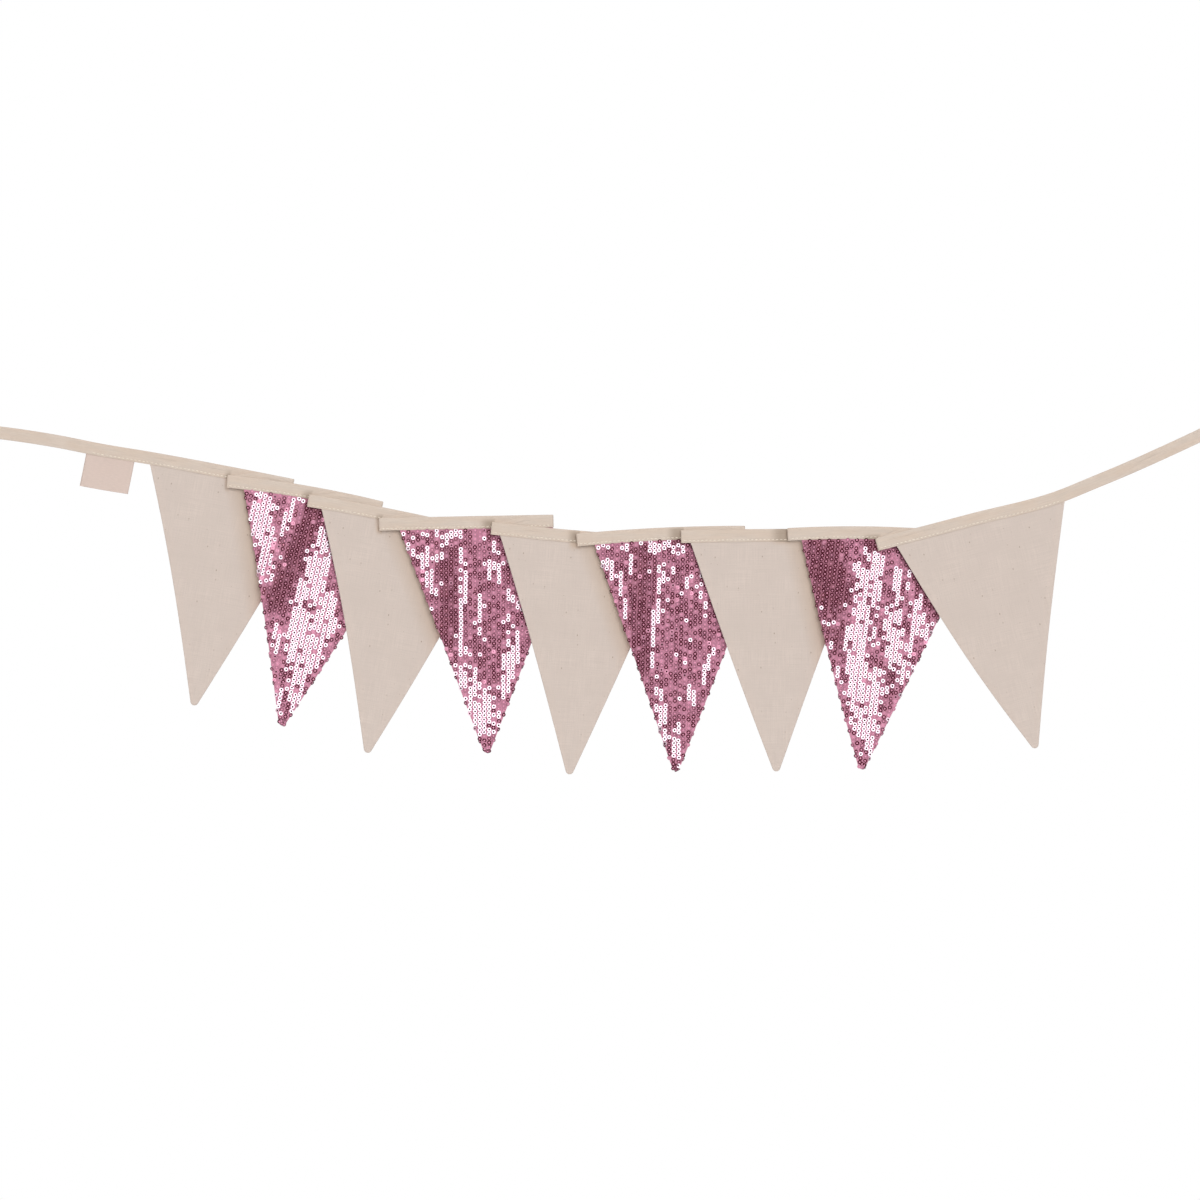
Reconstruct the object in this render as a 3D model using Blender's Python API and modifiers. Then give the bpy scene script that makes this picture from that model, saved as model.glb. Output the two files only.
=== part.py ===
"""Garland of nine triangular pennants sewn along one cotton tape and hung by the tape's two ends.

Metres, +Z up. X runs along the garland and -Y is the side that is looked at. The origin is the middle
of the tape's left end. Between two pennants the tape is folded back on itself, so that each pennant
hangs a little in front of the one to its left. A pennant's right corner turns forward with the tape.
"""

import math
from bisect import bisect_right
from collections import namedtuple

import bmesh
import bpy

MM = 0.001

# Tape
TAPE_WIDTH = 11.0 * MM
TAPE_THICKNESS = 1.5 * MM
BARE_TAPE = 37.6 * MM  # left free between one pennant and the next
TAPE_STEP = 12.0 * MM  # between mesh columns where the tape runs straight
RETURN_STEP = 4.0 * MM  # between mesh columns where it comes back

# Pennants and label
PENNANT_WIDTH = 150.0 * MM
CLOTH_THICKNESS = 1.0 * MM
TIP_RADIUS = 3.5 * MM
CORNER_HEIGHT = 1.0 * MM  # what is left of the cloth at its two top corners
SEAM_GAP = 0.3 * MM  # between the cloth's top edge and the tape
COLUMN_STEP = 12.5 * MM
PENNANT_ROWS = 6
LABEL_LEFT = 83.4 * MM
LABEL_WIDTH = 42.0 * MM
LABEL_HEIGHT = 28.0 * MM
LABEL_TILT = 11.0
LABEL_CURL = 1.2 * MM
LABEL_CELLS = (7, 4)

# Layers, front to back
LAYER_STEP = 4.0 * MM  # from one pennant to the next
FOLD_RADIUS = LAYER_STEP / 4  # of the middle of the tape in a fold
FOLD_CELLS = 6
LEAN_START = 130.0 * MM  # the layers lie slanted between these two places, so the row stays in one plane
LEAN_END = 880.0 * MM
LEAN_BLEND = 60.0 * MM
LEAN_PITCH = 80.0 * MM  # along the garland for each layer's step back
PATH_STEP = 0.5 * MM

# Soft ridges in the cloth
RIDGE_WIDTH = 0.11  # as a share of the pennant's width
RIDGE_STARTS = 45.0 * MM  # below the tape it has its full height
CURL_STARTS = 0.5  # share of the height below which the tip comes forward

# One row for each pennant, left to right. Lengths in millimetres, angles in degrees.
# fold_x: where the tape turns forward into this pennant; lead: tape from there to the cloth
# left_z, middle_z, right_z: height of the tape's middle at its left fold, halfway and at its right fold
# tilt: turn of the cloth, positive when the tip swings left; fold_tilt: turn of the fold at its right corner
# drop: height of the cloth below the tape; left_hollow, right_hollow: how far its sides draw in halfway down
# ridge, ridge_at, ridge_lean: height, place and slant of its soft fold; curl: how far the tip comes forward
Pennant = namedtuple(
    "Pennant",
    "cloth fold_x lead left_z middle_z right_z tilt fold_tilt drop left_hollow right_hollow"
    " ridge ridge_at ridge_lean curl",
)
PENNANTS = (
    Pennant("cotton", 138.5, 0.0, -23.0, -34.1, -45.9, 10.5, 10.5, 197.0, 2.6, -1.4, 0.8, 0.30, 0.00, 1.5),
    Pennant("sequin", 205.5, 13.8, -43.0, -51.7, -65.2, 12.1, 12.1, 196.0, 1.3, -1.0, 3.5, 0.40, -0.30, 2.5),
    Pennant("cotton", 275.5, 11.1, -59.6, -70.4, -83.4, 9.9, 4.0, 199.0, 2.9, -1.8, 0.6, 0.25, 0.00, 2.0),
    Pennant("sequin", 336.7, 16.4, -80.0, -78.4, -77.0, 0.0, 0.0, 193.0, 0.3, -0.6, 4.0, 0.26, 0.10, 3.0),
    Pennant("cotton", 433.5, 6.8, -83.4, -89.9, -94.6, 4.4, 2.0, 199.0, 1.6, -0.8, 0.9, 0.28, 0.05, 1.0),
    Pennant("sequin", 507.2, 13.4, -93.4, -88.3, -86.6, 1.3, 1.3, 199.0, 0.3, -1.0, 4.0, 0.28, 0.08, 2.5),
    Pennant("cotton", 597.0, 6.8, -90.6, -89.4, -89.4, 0.3, 0.3, 198.0, -1.2, 1.0, 0.7, 0.24, 0.00, 1.8),
    Pennant("sequin", 689.0, 10.4, -88.6, -87.1, -90.0, 6.6, -4.0, 199.0, -1.8, -0.8, 3.5, 0.26, 0.05, 2.2),
    Pennant("cotton", 765.8, 14.4, -97.1, -76.2, -54.7, -13.9, -13.9, 199.0, -3.8, 1.8, 0.8, 0.35, 0.00, 1.2),
)
# Middle of the free tape at each end, as distance along x and height, in millimetres
LEFT_TIE = ((0.0, 0.0), (58.8, -8.6), (93.4, -15.5))
RIGHT_TIE = ((948.6, -45.3), (981.7, -31.5), (1014.8, -16.7), (1051.2, 0.4))

# Linear colours, roughness
COLOURS = {
    "tape": ((0.68, 0.59, 0.48), 0.9),
    "cotton": ((0.68, 0.59, 0.51), 0.92),
    "sequin": ((0.62, 0.24, 0.34), 0.3),
    "label": ((0.72, 0.55, 0.48), 0.6),
}


def smooth(value):
    """0 below 0, 1 above 1, and an even turn between."""
    value = min(1.0, max(0.0, value))
    return value * value * (3 - 2 * value)


def curve_through(knots):
    """A smooth height and slope along x through knots of (x, z)."""
    xs = [x for x, _ in knots]

    def slope_at(i):
        middle = min(max(i, 1), len(knots) - 2)
        (x0, z0), (x1, z1), (x2, z2) = knots[middle - 1 : middle + 2]
        before = (z1 - z0) / (x1 - x0)
        after = (z2 - z1) / (x2 - x1)
        bend = (after - before) / (x2 - x0)
        return before + bend * (2 * xs[i] - x0 - x1)

    def at(x):
        i = min(max(bisect_right(xs, x) - 1, 0), len(knots) - 2)
        return hermite(knots[i], knots[i + 1], slope_at(i), slope_at(i + 1), x)

    return at


def hermite(start, end, start_slope, end_slope, x):
    """Height and slope at x of the cubic between two (x, z) points with given slopes."""
    run = end[0] - start[0]
    u = (x - start[0]) / run
    z = (
        (2 * u**3 - 3 * u**2 + 1) * start[1]
        + (u**3 - 2 * u**2 + u) * run * start_slope
        + (3 * u**2 - 2 * u**3) * end[1]
        + (u**3 - u**2) * run * end_slope
    )
    slope = (
        6 * (u**2 - u) * (start[1] - end[1]) / run
        + (3 * u**2 - 4 * u + 1) * start_slope
        + (3 * u**2 - 2 * u) * end_slope
    )
    return z, slope


def backing_y(x):
    """How far back the rearmost layer lies: slanted, and level at both ends of the tape."""

    def ramp(start):
        reach = x - start
        if reach <= 0:
            return 0.0
        if reach >= LEAN_BLEND:
            return reach - LEAN_BLEND / 2
        return reach * reach / (2 * LEAN_BLEND)

    return LAYER_STEP / LEAN_PITCH * (ramp(LEAN_START) - ramp(LEAN_END))


class Tape:
    """The tape's middle line from end to end, with its folds, as stations along its length."""

    def __init__(self):
        self.stations = []  # (length so far, x, z, up x, up z, layer)
        self.lengths = []
        self.columns = []  # where the mesh has its columns
        self.cloth_starts = []
        self.fold_lengths = []
        self.bands = [self.band(i) for i in range(len(PENNANTS))]
        self.trace()

    def band(self, i):
        """The height curve of the tape over one pennant, from its left fold to its right one."""
        row = PENNANTS[i]
        start = row.fold_x
        end = self.right_fold(i)
        knots = [(start, row.left_z), ((start + end) / 2, row.middle_z), (end, row.right_z)]
        if i == 0:
            knots = list(LEFT_TIE) + knots
        if i == len(PENNANTS) - 1:
            knots = knots + list(RIGHT_TIE)
        return curve_through([(x * MM, z * MM) for x, z in knots])

    def right_fold(self, i):
        """Where the tape turns forward and back, so that the bare stretch has its length, in millimetres."""
        row = PENNANTS[i]
        cloth_start = row.fold_x + row.lead
        if i == len(PENNANTS) - 1:
            return cloth_start + (PENNANT_WIDTH / MM) * math.cos(math.radians(row.tilt))
        following = PENNANTS[i + 1]
        pitch = (PENNANT_WIDTH + BARE_TAPE) / MM
        return (pitch + cloth_start + following.fold_x - following.lead) / 2

    def add(self, x, z, up, layer):
        length = 0.0
        if self.stations:
            last = self.stations[-1]
            back = backing_y(x) + layer - backing_y(last[1]) - last[5]
            length = last[0] + math.sqrt((x - last[1]) ** 2 + (z - last[2]) ** 2 + back**2)
        self.stations.append((length, x, z, up[0], up[1], layer))
        self.lengths.append(length)
        return length

    def run(self, start, end, height, layer, step):
        """Stations from x = start to x = end along a height curve, and mesh columns a step apart."""
        count = max(2, round(abs(end - start) / PATH_STEP))
        began = None
        for n in range(count + 1):
            x = start + (end - start) * n / count
            z, slope = height(x)
            scale = math.hypot(1.0, slope)
            length = self.add(x, z, (-slope / scale, 1 / scale), layer)
            began = length if began is None else began
        cells = max(1, round((length - began) / step))
        self.columns += [began + (length - began) * n / cells for n in range(cells + 1)]
        return began, length

    def turn(self, towards):
        """A fold: the tape turns forward round a small radius and heads back."""
        _, x, z, up_x, up_z, layer = self.stations[-1]
        steps = 4 * FOLD_CELLS
        began = self.lengths[-1]
        for n in range(1, steps + 1):
            angle = math.pi * n / steps
            reach = FOLD_RADIUS * math.sin(angle) * towards
            forward = FOLD_RADIUS * (1 - math.cos(angle))
            end = self.add(x + reach * up_z, z - reach * up_x, (up_x, up_z), layer - forward)
        self.columns += [began + (end - began) * n / FOLD_CELLS for n in range(1, FOLD_CELLS)]

    def trace(self):
        for i, row in enumerate(PENNANTS):
            last = i == len(PENNANTS) - 1
            layer = -LAYER_STEP * i
            height = self.bands[i]
            start = LEFT_TIE[0][0] * MM if i == 0 else row.fold_x * MM
            end = RIGHT_TIE[-1][0] * MM if last else self.right_fold(i) * MM
            band_start, fold = self.run(start, end, height, layer, TAPE_STEP)
            cloth_x = (row.fold_x + row.lead) * MM
            cloth_start = self.length_at(cloth_x, band_start)
            self.cloth_starts.append(cloth_start)
            self.fold_lengths.append(None if last else fold)
            if last:
                return
            self.turn(1)
            corner = PENNANT_WIDTH - (fold - cloth_start) - math.pi * FOLD_RADIUS
            corner_x = self.place(fold - corner)[0]
            forward_layer = layer - LAYER_STEP / 2
            self.run(end, corner_x, height, forward_layer, TAPE_STEP)
            following = PENNANTS[i + 1]
            left_x = following.fold_x * MM
            z_corner, slope_corner = height(corner_x)
            z_left, slope_left = self.bands[i + 1](left_x)

            def coming_back(x, a=(left_x, z_left), b=(corner_x, z_corner), slopes=(slope_left, slope_corner)):
                return hermite(a, b, slopes[0], slopes[1], x)

            self.run(corner_x, left_x, coming_back, forward_layer, RETURN_STEP)
            self.turn(-1)

    def length_at(self, x, not_before):
        """Length along the tape at which it passes x, in the stretch that starts at not_before."""
        first = bisect_right(self.lengths, not_before) - 1
        for before, after in zip(self.stations[first:], self.stations[first + 1 :]):
            if before[1] <= x <= after[1] and after[1] > before[1]:
                share = (x - before[1]) / (after[1] - before[1])
                return before[0] + share * (after[0] - before[0])
        raise ValueError("the tape does not pass there")

    def place(self, length):
        """x, z, the tape's upward direction and the layer at a length along it."""
        i = min(max(bisect_right(self.lengths, length) - 1, 0), len(self.lengths) - 2)
        before = self.stations[i]
        after = self.stations[i + 1]
        run = after[0] - before[0]
        share = (length - before[0]) / run if run else 0.0
        return [a + share * (b - a) for a, b in zip(before[1:], after[1:])]

    def point(self, length, across):
        """A point of the tape, across its width from the middle."""
        x, z, up_x, up_z, layer = self.place(length)
        x += across * up_x
        z += across * up_z
        return (x, backing_y(x) + layer, z)

    def hanging_point(self, length, down, tilt, forward):
        """A point of cloth that hangs from the tape's lower edge, down its own straight direction."""
        x, z, up_x, up_z, layer = self.place(length)
        edge = TAPE_WIDTH / 2 + SEAM_GAP
        x += -edge * up_x - down * math.sin(math.radians(tilt))
        z += -edge * up_z - down * math.cos(math.radians(tilt))
        return (x, backing_y(x) + layer - forward, z)


def drop_at(row, along):
    """Height of a pennant's cloth at a distance from its left corner: nearly straight sides, a round tip."""
    drop = row.drop * MM
    hollow = (row.left_hollow if along < PENNANT_WIDTH / 2 else row.right_hollow) * MM
    half = PENNANT_WIDTH / 2
    from_middle = abs(along - half)
    # The sides are tangent to the tip's circle, so the sharp point would lie a little lower.
    side = math.atan2(half, drop)
    for _ in range(4):
        sharp = drop + TIP_RADIUS / math.sin(side) - TIP_RADIUS
        side = math.atan2(half, sharp)
    tangent = TIP_RADIUS * math.cos(side)
    if from_middle < tangent:
        return drop - TIP_RADIUS + math.sqrt(TIP_RADIUS**2 - from_middle**2)
    drawn_in = hollow * math.sin(math.pi * (from_middle - tangent) / (half - tangent))
    return max(CORNER_HEIGHT, sharp * (1 - (from_middle + drawn_in) / half))


def relief(row, along, down):
    """How far a pennant's cloth stands forward of its layer."""
    share = down / (row.drop * MM)
    away = (along / PENNANT_WIDTH - row.ridge_at - row.ridge_lean * share) / RIDGE_WIDTH
    ridge = row.ridge * MM * math.exp(-away * away) * smooth(down / RIDGE_STARTS)
    curl = row.curl * MM * smooth((share - CURL_STARTS) / (1 - CURL_STARTS))
    return ridge + curl


def column_lean(tape, i, start):
    """How far a column of the mesh turns from the cloth's direction to that of the fold, in radians."""
    if tape.fold_lengths[i] is None:
        return 0.0
    row = PENNANTS[i]
    first = PENNANT_WIDTH / 2 + 2 * TIP_RADIUS
    to_fold = tape.fold_lengths[i] - tape.cloth_starts[i]
    return math.radians(row.tilt - row.fold_tilt) * smooth((start - first) / (to_fold - first))


def column_length(row, start, lean):
    """How far a column runs from the top edge to the cloth's outline."""
    short = 0.0
    long = 1.2 * row.drop * MM
    for _ in range(40):
        middle = (short + long) / 2
        if middle * math.cos(lean) < drop_at(row, start + middle * math.sin(lean)):
            short = middle
        else:
            long = middle
    return short


def pennant_columns(tape, i):
    """Distances from the left corner at which the pennant's mesh has its columns."""
    tip = [
        PENNANT_WIDTH / 2 + TIP_RADIUS * math.sin(math.radians(angle))
        for angle in (-66, -33, 0, 33, 66)
    ]
    fold = []
    if tape.fold_lengths[i] is not None:
        to_fold = tape.fold_lengths[i] - tape.cloth_starts[i]
        round_it = math.pi * FOLD_RADIUS
        fold = [to_fold + round_it * n / FOLD_CELLS for n in range(FOLD_CELLS + 1)]
    special = tip + fold
    count = round(PENNANT_WIDTH / COLUMN_STEP)
    even = [PENNANT_WIDTH * n / count for n in range(1, count)]
    clear = [x for x in even if min(abs(x - other) for other in special) > COLUMN_STEP / 4]
    return sorted([0.0, PENNANT_WIDTH] + clear + special)


def cloth_material(name):
    colour, roughness = COLOURS[name]
    material = bpy.data.materials.new(name + "_cloth")
    material.use_nodes = True
    shader = material.node_tree.nodes["Principled BSDF"]
    shader.inputs["Base Color"].default_value = (*colour, 1.0)
    shader.inputs["Roughness"].default_value = roughness
    shader.inputs["Metallic"].default_value = 0.0
    return material


def add_sheet(name, cells, point_at, thickness, material, collection):
    """A sheet of cloth: a grid whose corners point_at places by column and row, then thickened."""
    across, down = cells
    shape = bmesh.new()
    bmesh.ops.create_grid(shape, x_segments=across, y_segments=down, size=0.5)
    for vertex in shape.verts:
        column = round((vertex.co.x + 0.5) * across)
        row = round((vertex.co.y + 0.5) * down)
        vertex.co = point_at(column, row)
    for face in shape.faces:
        face.smooth = True
    mesh = bpy.data.meshes.new(name)
    shape.to_mesh(mesh)
    shape.free()
    mesh.materials.append(material)
    sheet = bpy.data.objects.new(name, mesh)
    collection.objects.link(sheet)
    thicken = sheet.modifiers.new("Thickness", "SOLIDIFY")
    thicken.thickness = thickness
    thicken.offset = 0.0
    thicken.use_even_offset = True
    return sheet


def add_tape(tape, collection):
    lengths = sorted(set(tape.columns))
    spaced = [lengths[0]]
    for length in lengths[1:]:
        if length - spaced[-1] > FOLD_RADIUS / 10:
            spaced.append(length)

    def point_at(column, row):
        return tape.point(spaced[column], (row - 0.5) * TAPE_WIDTH)

    return add_sheet("tape", (len(spaced) - 1, 1), point_at, TAPE_THICKNESS, cloth_material("tape"), collection)


def add_pennant(tape, i, material, collection):
    row = PENNANTS[i]
    starts = pennant_columns(tape, i)
    leans = [column_lean(tape, i, start) for start in starts]
    reaches = [column_length(row, start, lean) for start, lean in zip(starts, leans)]

    def point_at(column, line):
        start = starts[column]
        lean = leans[column]
        reach = reaches[column] * (1 - line / PENNANT_ROWS)
        forward = relief(row, start + reach * math.sin(lean), reach * math.cos(lean))
        tilt = row.tilt - math.degrees(lean)
        return tape.hanging_point(tape.cloth_starts[i] + start, reach, tilt, forward)

    name = f"pennant_{i + 1}_{row.cloth}"
    return add_sheet(name, (len(starts) - 1, PENNANT_ROWS), point_at, CLOTH_THICKNESS, material, collection)


def add_label(tape, collection):
    start = tape.length_at(LABEL_LEFT, 0.0)
    across, down = LABEL_CELLS

    def point_at(column, line):
        share = 1 - line / down
        length = start + LABEL_WIDTH * column / across
        return tape.hanging_point(length, LABEL_HEIGHT * share, LABEL_TILT, LABEL_CURL * share * share)

    return add_sheet("label", LABEL_CELLS, point_at, CLOTH_THICKNESS, cloth_material("label"), collection)


def main():
    for existing in list(bpy.data.objects):
        bpy.data.objects.remove(existing, do_unlink=True)
    collection = bpy.data.collections.new("sequin_garland")
    bpy.context.scene.collection.children.link(collection)
    tape = Tape()
    add_tape(tape, collection)
    add_label(tape, collection)
    materials = {cloth: cloth_material(cloth) for cloth in ("cotton", "sequin")}
    for i, row in enumerate(PENNANTS):
        add_pennant(tape, i, materials[row.cloth], collection)


main()
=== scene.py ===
"""Dresses the sequin garland: the folded cotton tape and its stitching, the plain and sequined pennants
and the bare label, each on the folds of its solid, and the studio around them.

Metres, +Z up. X runs along the garland and -Y is the side that is looked at.
"""

import math
from bisect import bisect_right
from collections import namedtuple

import bpy
import numpy as np
from bpy.props import FloatProperty, FloatVectorProperty, PointerProperty
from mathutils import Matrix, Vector


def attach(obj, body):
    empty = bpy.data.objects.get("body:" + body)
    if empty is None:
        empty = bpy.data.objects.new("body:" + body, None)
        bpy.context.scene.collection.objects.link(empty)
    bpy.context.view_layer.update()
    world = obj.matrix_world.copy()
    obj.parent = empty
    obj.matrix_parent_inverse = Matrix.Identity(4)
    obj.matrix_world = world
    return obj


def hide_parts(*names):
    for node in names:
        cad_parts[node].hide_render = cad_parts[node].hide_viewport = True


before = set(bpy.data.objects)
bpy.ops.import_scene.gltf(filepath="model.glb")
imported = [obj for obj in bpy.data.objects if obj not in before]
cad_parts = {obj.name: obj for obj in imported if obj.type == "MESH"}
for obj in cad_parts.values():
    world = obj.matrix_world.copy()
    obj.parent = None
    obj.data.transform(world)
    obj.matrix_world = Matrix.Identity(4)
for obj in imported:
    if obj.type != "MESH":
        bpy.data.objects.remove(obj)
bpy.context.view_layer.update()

bl_info = {
    "name": "Sequin Garland",
    "version": (1, 0, 0),
    "blender": (4, 5, 0),
    "location": "3D View > Sidebar > Garland",
    "description": "Adds the cloth, sequins and stitching of a garland of nine pennants",
    "category": "Add Mesh",
}

MM = 0.001

# The folded path of the tape and the cut of the cloth, as in the solids
TAPE_WIDTH = 11.0 * MM
BARE_TAPE = 37.6 * MM
PENNANT_WIDTH = 150.0 * MM
TIP_RADIUS = 3.5 * MM
CORNER_HEIGHT = 1.0 * MM
SEAM_GAP = 0.3 * MM
LABEL_LEFT = 83.4 * MM
LABEL_WIDTH = 42.0 * MM
LABEL_HEIGHT = 28.0 * MM
LABEL_TILT = 11.0
LABEL_CURL = 1.2 * MM
LAYER_STEP = 4.0 * MM
FOLD_RADIUS = LAYER_STEP / 4
LEAN_START = 130.0 * MM
LEAN_END = 880.0 * MM
LEAN_BLEND = 60.0 * MM
LEAN_PITCH = 80.0 * MM
PATH_STEP = 0.5 * MM
RIDGE_WIDTH = 0.11
RIDGE_STARTS = 45.0 * MM
CURL_STARTS = 0.5

# One row for each pennant, left to right. Lengths in millimetres, angles in degrees.
# fold_x: where the tape turns forward into this pennant; lead: tape from there to the cloth
# left_z, middle_z, right_z: height of the tape's middle at its left fold, halfway and at its right fold
# tilt: turn of the cloth, positive when the tip swings left; fold_tilt: that of its folded right corner
# drop: height of the cloth below the tape; left_hollow, right_hollow: how far its sides draw in halfway
# ridge, ridge_at, ridge_lean: height, place and slant of its soft fold; curl: how far the tip comes forward
Pennant = namedtuple(
    "Pennant",
    "cloth fold_x lead left_z middle_z right_z tilt fold_tilt drop left_hollow right_hollow"
    " ridge ridge_at ridge_lean curl",
)
PENNANTS = (
    Pennant("cotton", 138.5, 0.0, -23.0, -34.1, -45.9, 10.5, 10.5, 197.0, 2.6, -1.4, 0.8, 0.30, 0.00, 1.5),
    Pennant("sequin", 205.5, 13.8, -43.0, -51.7, -65.2, 12.1, 12.1, 196.0, 1.3, -1.0, 3.5, 0.40, -0.30, 2.5),
    Pennant("cotton", 275.5, 11.1, -59.6, -70.4, -83.4, 9.9, 4.0, 199.0, 2.9, -1.8, 0.6, 0.25, 0.00, 2.0),
    Pennant("sequin", 336.7, 16.4, -80.0, -78.4, -77.0, 0.0, 0.0, 193.0, 0.3, -0.6, 4.0, 0.26, 0.10, 3.0),
    Pennant("cotton", 433.5, 6.8, -83.4, -89.9, -94.6, 4.4, 2.0, 199.0, 1.6, -0.8, 0.9, 0.28, 0.05, 1.0),
    Pennant("sequin", 507.2, 13.4, -93.4, -88.3, -86.6, 1.3, 1.3, 199.0, 0.3, -1.0, 4.0, 0.28, 0.08, 2.5),
    Pennant("cotton", 597.0, 6.8, -90.6, -89.4, -89.4, 0.3, 0.3, 198.0, -1.2, 1.0, 0.7, 0.24, 0.00, 1.8),
    Pennant("sequin", 689.0, 10.4, -88.6, -87.1, -90.0, 6.6, -4.0, 199.0, -1.8, -0.8, 3.5, 0.26, 0.05, 2.2),
    Pennant("cotton", 765.8, 14.4, -97.1, -76.2, -54.7, -13.9, -13.9, 199.0, -3.8, 1.8, 0.8, 0.35, 0.00, 1.2),
)
# Middle of the free tape at each end, as distance along x and height, in millimetres
LEFT_TIE = ((0.0, 0.0), (58.8, -8.6), (93.4, -15.5))
RIGHT_TIE = ((948.6, -45.3), (981.7, -31.5), (1014.8, -16.7), (1051.2, 0.4))

# Soft creases in the cotton, in millimetres along the top edge and down the cloth
Crease = namedtuple("Crease", "pennant from_along from_down to_along to_down width height")
CREASES = (
    Crease(1, 118, 0, 92, 96, 13, 0.5),
    Crease(1, 40, 30, 62, 150, 17, -0.4),
    Crease(3, 112, 4, 86, 110, 12, 0.6),
    Crease(3, 34, 14, 58, 140, 18, -0.4),
    Crease(5, 104, 2, 88, 120, 12, 0.5),
    Crease(5, 30, 10, 56, 130, 16, 0.4),
    Crease(7, 112, 4, 92, 112, 12, 0.5),
    Crease(7, 36, 16, 60, 138, 17, -0.4),
    Crease(9, 104, 8, 90, 120, 15, 0.4),
    Crease(9, 30, 6, 62, 132, 17, -0.4),
)

# The photograph's pixels on the garland's plane
PIXEL = 0.8645 * MM
ORIGIN_PX = -8.0
ORIGIN_PY = 432.05

# Where small folds turn runs of sequins to the light, in the photograph's pixels, pennant by pennant
Run = namedtuple("Run", "from_px from_py to_px to_py width_px")
RUNS = {
    2: (
        (263, 496, 264, 540, 22), (266, 543, 266, 578, 13), (295, 498, 281, 536, 8),
        (299, 500, 305, 503, 5), (323, 532, 327, 568, 12), (314, 556, 318, 598, 18),
        (328, 600, 330, 628, 17), (303, 585, 300, 600, 13), (300, 617, 300, 664, 24),
        (324, 616, 312, 664, 18), (302, 668, 294, 706, 15), (277, 627, 277, 650, 7),
        (280, 688, 280, 712, 5),
    ),
    4: (
        (412, 536, 412, 536, 4), (420, 535, 427, 535, 4), (435, 534, 441, 536, 5),
        (451, 536, 461, 532, 8), (472, 533, 472, 533, 4), (486, 532, 486, 541, 4),
        (495, 544, 495, 549, 4), (407, 544, 414, 553, 4), (446, 541, 446, 556, 7),
        (450, 550, 438, 559, 6), (426, 559, 430, 580, 14), (432, 580, 435, 594, 7),
        (430, 597, 430, 597, 4), (444, 584, 444, 584, 4), (461, 552, 461, 569, 8),
        (468, 564, 468, 573, 4), (464, 578, 463, 600, 8), (462, 602, 462, 628, 4),
        (459, 631, 459, 660, 4), (488, 565, 497, 566, 8), (488, 572, 489, 578, 4),
        (498, 573, 499, 582, 4), (506, 558, 506, 563, 4), (480, 598, 481, 615, 4),
        (472, 625, 477, 620, 4), (477, 629, 483, 640, 4), (508, 593, 519, 608, 7),
        (509, 614, 505, 623, 4), (511, 622, 511, 648, 5), (517, 634, 518, 661, 6),
        (511, 650, 505, 690, 12), (467, 647, 469, 658, 4), (454, 666, 470, 666, 5),
        (461, 668, 463, 685, 10), (474, 670, 472, 688, 6), (480, 682, 480, 688, 4),
        (472, 690, 480, 730, 14), (485, 690, 489, 725, 10), (495, 708, 499, 716, 5),
        (486, 728, 491, 732, 5),
    ),
    6: (
        (596, 548, 607, 547, 6), (624, 549, 629, 546, 5), (643, 544, 643, 544, 4),
        (651, 546, 676, 543, 9), (655, 551, 658, 552, 5), (667, 551, 676, 553, 5),
        (684, 547, 684, 552, 4), (602, 563, 602, 563, 4), (608, 563, 614, 574, 9),
        (619, 578, 627, 617, 5), (630, 556, 631, 575, 5), (665, 563, 665, 563, 4),
        (658, 567, 656, 623, 5), (661, 567, 660, 573, 4), (665, 574, 665, 586, 4),
        (675, 567, 675, 573, 4), (686, 577, 684, 588, 4), (675, 589, 680, 594, 4),
        (666, 602, 666, 602, 4), (689, 576, 689, 576, 4), (699, 585, 700, 597, 4),
        (703, 600, 706, 614, 4), (653, 612, 652, 666, 4), (686, 621, 686, 621, 4),
        (655, 675, 655, 690, 4), (660, 691, 660, 702, 5), (661, 705, 663, 739, 11),
        (676, 728, 677, 756, 9), (713, 644, 713, 653, 4), (709, 657, 709, 668, 5),
        (703, 669, 703, 684, 5), (689, 686, 689, 700, 4), (695, 694, 695, 704, 4),
    ),
    8: (
        (873, 553, 873, 563, 19), (862, 570, 860, 632, 16), (875, 568, 875, 596, 13),
        (875, 598, 874, 615, 5), (856, 634, 855, 668, 25), (873, 630, 875, 650, 6),
        (893, 612, 893, 659, 20), (897, 569, 898, 609, 8), (909, 572, 908, 590, 6),
        (916, 602, 917, 630, 12), (926, 620, 928, 632, 8), (910, 632, 909, 676, 8),
        (901, 668, 901, 694, 7), (858, 676, 864, 726, 26), (876, 674, 873, 712, 14),
        (884, 685, 886, 692, 5), (869, 737, 869, 759, 8), (800, 541, 800, 541, 4),
        (815, 573, 815, 573, 4), (816, 593, 822, 593, 4), (820, 605, 820, 609, 4),
        (821, 623, 833, 621, 5), (831, 645, 831, 648, 4), (836, 669, 839, 680, 5),
        (887, 720, 887, 720, 4), (861, 753, 861, 753, 4),
    ),
}

# Where the cloth dips and its sequins lie in their own shade, in the same pixels
Shade = namedtuple("Shade", "pennant from_px from_py to_px to_py width_px depth")
SHADES = (
    Shade(2, 314, 514, 276, 600, 26, 0.80),
    Shade(4, 449, 552, 449, 638, 22, 0.65),
    Shade(4, 470, 560, 480, 640, 130, 0.15),
    Shade(6, 641, 554, 641, 664, 24, 0.65),
    Shade(6, 660, 560, 670, 720, 130, 0.15),
    Shade(8, 822, 546, 834, 590, 46, 0.80),
    Shade(8, 818, 575, 840, 645, 26, 0.50),
    Shade(8, 892, 668, 892, 690, 16, 0.50),
)

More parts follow.
